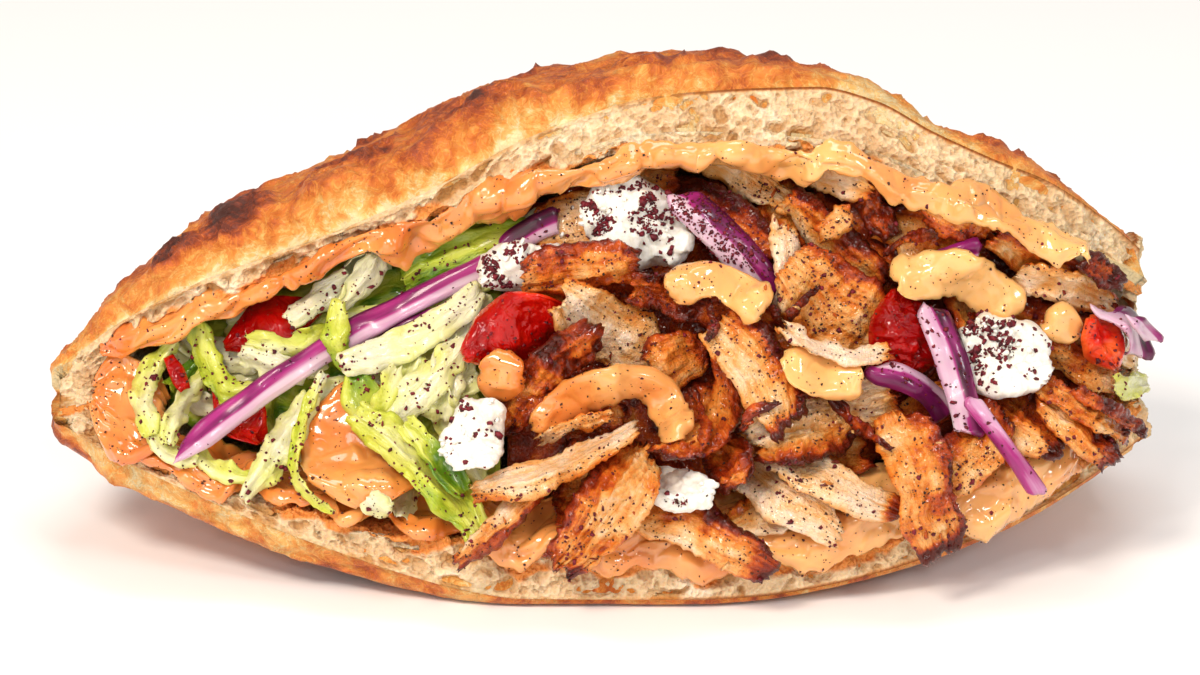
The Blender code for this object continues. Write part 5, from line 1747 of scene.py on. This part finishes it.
def crumb_finish():
    """Cut and torn bread crumb: pale, porous and dull, with warmer painted shade down in its holes."""
    material, tree, shader = new_finish("bread_crumb", IOR=1.4,
                                        Specular_IOR_Level=0.25, Subsurface_Weight=0.25,
                                        Subsurface_Radius=(0.9, 0.5, 0.25), Subsurface_Scale=0.0022)
    place = node(tree, "ShaderNodeTexCoord").outputs["Object"]
    crusty = node(tree, "ShaderNodeAttribute", attribute_name="crusty").outputs["Fac"]
    pore_shade = node(tree, "ShaderNodeAttribute", attribute_name="pore_shade").outputs["Fac"]
    # 1 mm sponge between the holes that the mesh has, darker in its small pits: painted shade
    sponge = node(tree, "ShaderNodeTexVoronoi", {"Scale": 950.0}, {"Vector": place})
    patch = node(tree, "ShaderNodeTexNoise", {"Scale": 110.0, "Detail": 4.0},
                 {"Vector": place}).outputs["Fac"]
    pale = node(tree, "ShaderNodeValToRGB", links={"Fac": patch}, stops=(
        (0.3, "#DDB98E"), (0.55, "#EBD0A8"), (0.75, "#F7E5C8"))).outputs["Color"]
    cell = node(tree, "ShaderNodeMapRange", {"From Max": 0.55, "To Min": 0.55, "To Max": 0.0},
                {"Value": sponge.outputs["Distance"]}).outputs["Result"]
    sponge_with_pit_shade = mixed(tree, cell, pale, colour("#D2A570"))
    # painted shade: a darker, warmer colour down in the mesh's pores
    deep = mixed(tree, pore_shade, sponge_with_pit_shade, colour("#BC8850"))
    baked = node(tree, "ShaderNodeValToRGB", links={"Fac": crusty}, stops=(
        (0.0, "#E8C48E"), (0.5, "#C07A35"), (1.0, "#8A4A1C"))).outputs["Color"]
    # where the sauce soaked and smeared it
    stain = node(tree, "ShaderNodeAttribute", attribute_name="stain").outputs["Fac"]
    dry = mixed(tree, crusty, deep, baked)
    tree.links.new(mixed(tree, stain, dry, colour("#E8924A")), shader.inputs["Base Color"])
    wet = node(tree, "ShaderNodeMapRange", {"To Min": 0.85, "To Max": 0.25}, {"Value": stain})
    tree.links.new(wet.outputs["Result"], shader.inputs["Roughness"])
    bump = node(tree, "ShaderNodeBump", {"Strength": 1.0, "Distance": 0.0009},
                {"Height": sponge.outputs["Distance"]})
    tree.links.new(bump.outputs["Normal"], shader.inputs["Normal"])
    return material


def sauce_finish():
    """Thick garlic and pepper sauce: glossy peach cream with a few dark specks in it."""
    material, tree, shader = new_finish("pepper_sauce", Roughness=0.22, IOR=1.42, Coat_Weight=1.0,
                                        Coat_Roughness=0.05, Subsurface_Weight=0.35,
                                        Subsurface_Radius=(1.0, 0.5, 0.2), Subsurface_Scale=0.002)
    place = node(tree, "ShaderNodeTexCoord").outputs["Object"]
    streak = node(tree, "ShaderNodeTexNoise", {"Scale": 90.0, "Detail": 3.0, "Distortion": 0.6},
                  {"Vector": place}).outputs["Fac"]
    base = node(tree, "ShaderNodeValToRGB", links={"Fac": streak}, stops=(
        (0.3, "#D46C28"), (0.5, "#DF7E32"), (0.72, "#EA9648"))).outputs["Color"]
    yellow = node(tree, "ShaderNodeAttribute", attribute_name="yellow").outputs["Fac"]
    warm = mixed(tree, yellow, base, colour("#F4B970"))
    # fine pepper stirred into it, 0.25 mm, about 2 mm apart
    speck = node(tree, "ShaderNodeTexVoronoi", {"Scale": 900.0, "Randomness": 1.0}, {"Vector": place})
    dot = node(tree, "ShaderNodeMath", {1: 0.15}, {0: speck.outputs["Distance"]},
               operation="LESS_THAN")
    few = node(tree, "ShaderNodeSeparateColor", links={"Color": speck.outputs["Color"]})
    chosen = node(tree, "ShaderNodeMath", {1: 0.62}, {0: few.outputs[0]}, operation="GREATER_THAN")
    both = node(tree, "ShaderNodeMath", links={0: dot.outputs[0], 1: chosen.outputs[0]},
                operation="MULTIPLY")
    tree.links.new(mixed(tree, both.outputs[0], warm, colour("#5A3018")), shader.inputs["Base Color"])
    swirl = node(tree, "ShaderNodeBump", {"Strength": 0.25, "Distance": 0.0008}, {"Height": streak})
    tree.links.new(swirl.outputs["Normal"], shader.inputs["Normal"])
    return material


def meat_finish():
    """Roasted doner meat: pale fibres inside, golden to dark brown and glossy where it roasted."""
    material, tree, shader = new_finish("roasted_meat", IOR=1.42, Coat_Weight=0.6,
                                        Coat_Roughness=0.04, Specular_IOR_Level=0.12,
                                        Subsurface_Weight=0.22, Subsurface_Radius=(1.0, 0.4, 0.2),
                                        Subsurface_Scale=0.0016)
    flow = node(tree, "ShaderNodeAttribute", attribute_name="flow").outputs["Vector"]
    roast = node(tree, "ShaderNodeAttribute", attribute_name="roast").outputs["Fac"]
    # muscle fibres: 0.4 mm across, several mm long
    stretch = node(tree, "ShaderNodeMapping", {"Scale": (0.14, 1.0, 1.0)}, {"Vector": flow})
    fibre = node(tree, "ShaderNodeTexNoise", {"Scale": 2.2, "Detail": 4.0, "Roughness": 0.62},
                 {"Vector": stretch.outputs["Vector"]}).outputs["Fac"]
    blotch = node(tree, "ShaderNodeTexNoise", {"Scale": 0.5, "Detail": 5.0, "Roughness": 0.62},
                  {"Vector": flow}).outputs["Fac"]
    # beads of fat and gravy, 0.6 mm
    bead = node(tree, "ShaderNodeTexNoise", {"Scale": 1.5, "Detail": 2.0, "Distortion": 0.5},
                {"Vector": flow}).outputs["Fac"]
    shifted = node(tree, "ShaderNodeMath", {1: 0.36}, {0: blotch}, operation="MULTIPLY_ADD")
    tree.links.new(roast, shifted.inputs[2])
    fibred = node(tree, "ShaderNodeMath", {1: 0.22}, {0: fibre}, operation="MULTIPLY_ADD")
    tree.links.new(shifted.outputs[0], fibred.inputs[2])
    tone = node(tree, "ShaderNodeMath", {1: 0.25}, {0: fibred.outputs[0]}, operation="SUBTRACT")
    base = node(tree, "ShaderNodeValToRGB", links={"Fac": tone.outputs[0]}, stops=(
        (0.0, "#F8DEC4"), (0.14, "#F4CCA0"), (0.3, "#EBAA62"), (0.45, "#E0822E"), (0.6, "#BE5014"),
        (0.76, "#88280A"), (0.95, "#521406"))).outputs["Color"]
    tree.links.new(base, shader.inputs["Base Color"])
    rough = node(tree, "ShaderNodeMapRange", {"To Min": 0.2, "To Max": 0.48},
                 {"Value": fibre}).outputs["Result"]
    tree.links.new(rough, shader.inputs["Roughness"])
    strand = node(tree, "ShaderNodeBump", {"Strength": 1.0, "Distance": 0.0006}, {"Height": fibre})
    beaded = node(tree, "ShaderNodeBump", {"Strength": 1.0, "Distance": 0.0006},
                  {"Height": bead, "Normal": strand.outputs["Normal"]})
    tree.links.new(beaded.outputs["Normal"], shader.inputs["Normal"])
    # the wet film over it: soft ripples 2 mm apart that break the light into small glints
    ripple = node(tree, "ShaderNodeTexNoise", {"Scale": 0.6, "Detail": 1.0, "Distortion": 0.5},
                  {"Vector": flow}).outputs["Fac"]
    film = node(tree, "ShaderNodeBump", {"Strength": 1.0, "Distance": 0.001}, {"Height": ripple})
    tree.links.new(film.outputs["Normal"], shader.inputs["Coat Normal"])
    return material


def lettuce_finish():
    """Shredded iceberg lettuce: white watery ribs running into soft, light yellow-green leaf."""
    material, tree, shader = new_finish("iceberg_lettuce", Roughness=0.28, IOR=1.36,
                                        Coat_Weight=0.4, Coat_Roughness=0.12,
                                        Subsurface_Weight=0.45, Subsurface_Radius=(0.9, 1.0, 0.35),
                                        Subsurface_Scale=0.002)
    flow = node(tree, "ShaderNodeAttribute", attribute_name="flow").outputs["Vector"]
    leaf = node(tree, "ShaderNodeAttribute", attribute_name="leaf").outputs["Fac"]
    # watery veins about 1.5 mm apart, drawn out along the rib
    stretch = node(tree, "ShaderNodeMapping", {"Scale": (0.4, 1.0, 1.0)}, {"Vector": flow})
    vein = node(tree, "ShaderNodeTexNoise", {"Scale": 0.8, "Detail": 4.0, "Distortion": 0.8},
                {"Vector": stretch.outputs["Vector"]}).outputs["Fac"]
    shifted = node(tree, "ShaderNodeMath", {1: 0.34}, {0: vein}, operation="MULTIPLY_ADD")
    tree.links.new(leaf, shifted.inputs[2])
    lowered = node(tree, "ShaderNodeMath", {1: 0.17}, {0: shifted.outputs[0]}, operation="SUBTRACT")
    base = node(tree, "ShaderNodeValToRGB", links={"Fac": lowered.outputs[0]}, stops=(
        (0.0, "#DCD8B8"), (0.25, "#DAD89E"), (0.48, "#D2D46A"), (0.7, "#BCC43C"),
        (0.86, "#8CA322"), (1.0, "#4A7410"))).outputs["Color"]
    tree.links.new(base, shader.inputs["Base Color"])
    bump = node(tree, "ShaderNodeBump", {"Strength": 0.7, "Distance": 0.001}, {"Height": vein})
    tree.links.new(bump.outputs["Normal"], shader.inputs["Normal"])
    return material


def onion_finish():
    """Red onion: shiny purple skin on one side of each ring and pale pink, juicy flesh."""
    material, tree, shader = new_finish("red_onion", Roughness=0.3, IOR=1.36, Coat_Weight=0.35,
                                        Coat_Roughness=0.1, Subsurface_Weight=0.35,
                                        Subsurface_Radius=(1.0, 0.4, 0.7), Subsurface_Scale=0.0015)
    flow = node(tree, "ShaderNodeAttribute", attribute_name="flow").outputs["Vector"]
    skin = node(tree, "ShaderNodeAttribute", attribute_name="skin").outputs["Fac"]
    # lengthwise veins, 0.8 mm apart
    stretch = node(tree, "ShaderNodeMapping", {"Scale": (0.06, 1.0, 1.0)}, {"Vector": flow})
    vein = node(tree, "ShaderNodeTexNoise", {"Scale": 1.3, "Detail": 3.0},
                {"Vector": stretch.outputs["Vector"]}).outputs["Fac"]
    shifted = node(tree, "ShaderNodeMath", {1: 0.34}, {0: vein}, operation="MULTIPLY_ADD")
    tree.links.new(skin, shifted.inputs[2])
    lowered = node(tree, "ShaderNodeMath", {1: 0.17}, {0: shifted.outputs[0]}, operation="SUBTRACT")
    base = node(tree, "ShaderNodeValToRGB", links={"Fac": lowered.outputs[0]}, stops=(
        (0.0, "#DABECA"), (0.3, "#C593B2"), (0.5, "#A62A78"), (0.72, "#7A1658"),
        (1.0, "#34081E"))).outputs["Color"]
    tree.links.new(base, shader.inputs["Base Color"])
    bump = node(tree, "ShaderNodeBump", {"Strength": 0.2, "Distance": 0.0003}, {"Height": vein})
    tree.links.new(bump.outputs["Normal"], shader.inputs["Normal"])
    return material


def tomato_finish():
    """Ripe tomato: deep red wet skin and flesh, paler and more orange where it is cut."""
    material, tree, shader = new_finish("ripe_tomato", Roughness=0.25, IOR=1.38, Coat_Weight=0.55,
                                        Coat_Roughness=0.04, Specular_IOR_Level=0.1, Subsurface_Weight=0.3,
                                        Subsurface_Radius=(1.0, 0.25, 0.1), Subsurface_Scale=0.002)
    flow = node(tree, "ShaderNodeAttribute", attribute_name="flow").outputs["Vector"]
    flesh = node(tree, "ShaderNodeAttribute", attribute_name="flesh").outputs["Fac"]
    cloud = node(tree, "ShaderNodeTexNoise", {"Scale": 0.35, "Detail": 4.0},
                 {"Vector": flow}).outputs["Fac"]
    shifted = node(tree, "ShaderNodeMath", {1: 0.5}, {0: cloud}, operation="MULTIPLY_ADD")
    tree.links.new(flesh, shifted.inputs[2])
    lowered = node(tree, "ShaderNodeMath", {1: 0.25}, {0: shifted.outputs[0]}, operation="SUBTRACT")
    base = node(tree, "ShaderNodeValToRGB", links={"Fac": lowered.outputs[0]}, stops=(
        (0.0, "#8A0404"), (0.35, "#B40A05"), (0.65, "#D4220C"), (1.0, "#EA5C26"))).outputs["Color"]
    tree.links.new(base, shader.inputs["Base Color"])
    wet = node(tree, "ShaderNodeTexNoise", {"Scale": 0.5, "Detail": 1.0, "Distortion": 0.8},
               {"Vector": flow}).outputs["Fac"]
    bump = node(tree, "ShaderNodeBump", {"Strength": 1.0, "Distance": 0.0008}, {"Height": wet})
    tree.links.new(bump.outputs["Normal"], shader.inputs["Normal"])
    tree.links.new(bump.outputs["Normal"], shader.inputs["Coat Normal"])
    return material


def cheese_finish():
    """Crumbled white brined cheese: matt, moist and slightly grainy."""
    material, tree, shader = new_finish("white_cheese", Roughness=0.55, IOR=1.4,
                                        Specular_IOR_Level=0.4, Subsurface_Weight=0.4,
                                        Subsurface_Radius=(1.0, 0.9, 0.7), Subsurface_Scale=0.0015)
    place = node(tree, "ShaderNodeTexCoord").outputs["Object"]
    grain = node(tree, "ShaderNodeTexNoise", {"Scale": 900.0, "Detail": 4.0},
                 {"Vector": place}).outputs["Fac"]
    base = node(tree, "ShaderNodeValToRGB", links={"Fac": grain}, stops=(
        (0.3, "#E6E2D4"), (0.6, "#F6F3EA"))).outputs["Color"]
    tree.links.new(base, shader.inputs["Base Color"])
    bump = node(tree, "ShaderNodeBump", {"Strength": 0.35, "Distance": 0.0004}, {"Height": grain})
    tree.links.new(bump.outputs["Normal"], shader.inputs["Normal"])
    return material


def flake_finish(name, dark, light, roughness):
    """Ground spice: broken flakes, each a little lighter or darker than the next."""
    material, tree, shader = new_finish(name, Roughness=roughness, IOR=1.45,
                                        Specular_IOR_Level=0.35)
    place = node(tree, "ShaderNodeTexCoord").outputs["Object"]
    vary = node(tree, "ShaderNodeTexNoise", {"Scale": 900.0, "Detail": 2.0}, {"Vector": place})
    base = node(tree, "ShaderNodeValToRGB", links={"Fac": vary.outputs["Fac"]}, stops=(
        (0.35, dark), (0.65, light))).outputs["Color"]
    tree.links.new(base, shader.inputs["Base Color"])
    return material


# ---------------------------------------------------------------- studio


def soft_light(name, place, target, size, power, tint="#FFFFFF"):
    """A square soft light that faces a point; sizes and places in metres."""
    data = bpy.data.lights.new(name, "AREA")
    data.shape = "RECTANGLE"
    data.size, data.size_y = size
    data.energy = power
    data.color = colour(tint)[:3]
    light = bpy.data.objects.new(name, data)
    light.location = place
    light.rotation_euler = (Vector(target) - Vector(place)).to_track_quat("-Z", "Y").to_euler()
    bpy.context.scene.collection.objects.link(light)


def make_studio():
    """A plain pale floor, soft lights and the camera in front of the mouth."""
    scene = bpy.context.scene
    mesh = bpy.data.meshes.new("floor")
    mesh.from_pydata([(-6, -6, 0), (6, -6, 0), (6, 6, 0), (-6, 6, 0)], [], [(0, 1, 2, 3)])
    floor = bpy.data.objects.new("floor", mesh)
    scene.collection.objects.link(floor)
    material, _, shader = new_finish("pale_floor", Roughness=0.9, Specular_IOR_Level=0.0)
    shader.inputs["Base Color"].default_value = colour("#FAFAFA")
    mesh.materials.append(material)
    world = bpy.data.worlds.new("studio")
    world.use_nodes = True
    backdrop = world.node_tree.nodes["Background"]
    backdrop.inputs["Color"].default_value = colour("#FFF8F0")
    backdrop.inputs["Strength"].default_value = 0.4
    scene.world = world
    soft_light("key", (-0.45, -0.75, 0.95), (0, 0, 0.05), (0.34, 0.28), 9.6, "#FFF1E2")
    soft_light("fill", (0.75, -0.6, 0.6), (0, 0, 0.05), (0.2, 0.2), 2.6)
    # small lamps from several sides, for the glints on what is wet
    for k, place in enumerate(((-0.15, -0.85, 0.8), (0.4, -0.75, 0.95), (0.05, -1.05, 0.5),
                               (-0.8, -0.6, 0.65))):
        soft_light(f"glint_{k + 1}", place, (0, 0, 0.05), (0.09, 0.09), 0.95)
    soft_light("front", (-0.8, -1.05, 0.2), (0, 0, 0.04), (1.1, 0.7), 4.8, "#FFF6EC")
    soft_light("top", (0.1, 0.25, 1.1), (0, 0, 0.05), (0.7, 0.4), 4)
    target = np.array(mouth_to_world(CAMERA_X, CAMERA_UP, 0)) + SHIFT
    away = np.array((0, -math.cos(LEAN), math.sin(LEAN))) * CAMERA_FAR
    data = bpy.data.cameras.new("camera")
    data.sensor_width = 36.0
    data.lens = 36.0 * CAMERA_FAR / VIEW_WIDTH
    data.clip_start, data.clip_end = 0.05, 30
    camera = bpy.data.objects.new("camera", data)
    camera.location = Vector((target + away) * MM)
    camera.rotation_euler = Vector(-away).to_track_quat("-Z", "Y").to_euler()
    scene.collection.objects.link(camera)
    scene.camera = camera
    scene.view_settings.view_transform = "Standard"


CAMERA_FAR = 1100.0
VIEW_WIDTH = 245.3
CAMERA_X, CAMERA_UP = -0.4, 55.7


def main():
    crust, crumb = crust_finish(), crumb_finish()
    finishes = {"meat": meat_finish(), "lettuce": lettuce_finish(), "onion": onion_finish(),
                "tomato": tomato_finish(), "cheese": cheese_finish(), "sauce": sauce_finish(),
                "sumac": flake_finish("ground_sumac", "#3E0C14", "#7A1826", 0.5),
                "pepper": flake_finish("ground_pepper", "#22130E", "#5A3322", 0.6)}
    make_bread(crust)
    make_crumb("bread_crumb_upper", crumb, True, 401)
    make_crumb("bread_crumb_lower", crumb, False, 901)
    make_torn_end(crumb)
    make_cores(finishes)
    make_spice(finishes, make_filling(finishes))
    make_studio()


main()
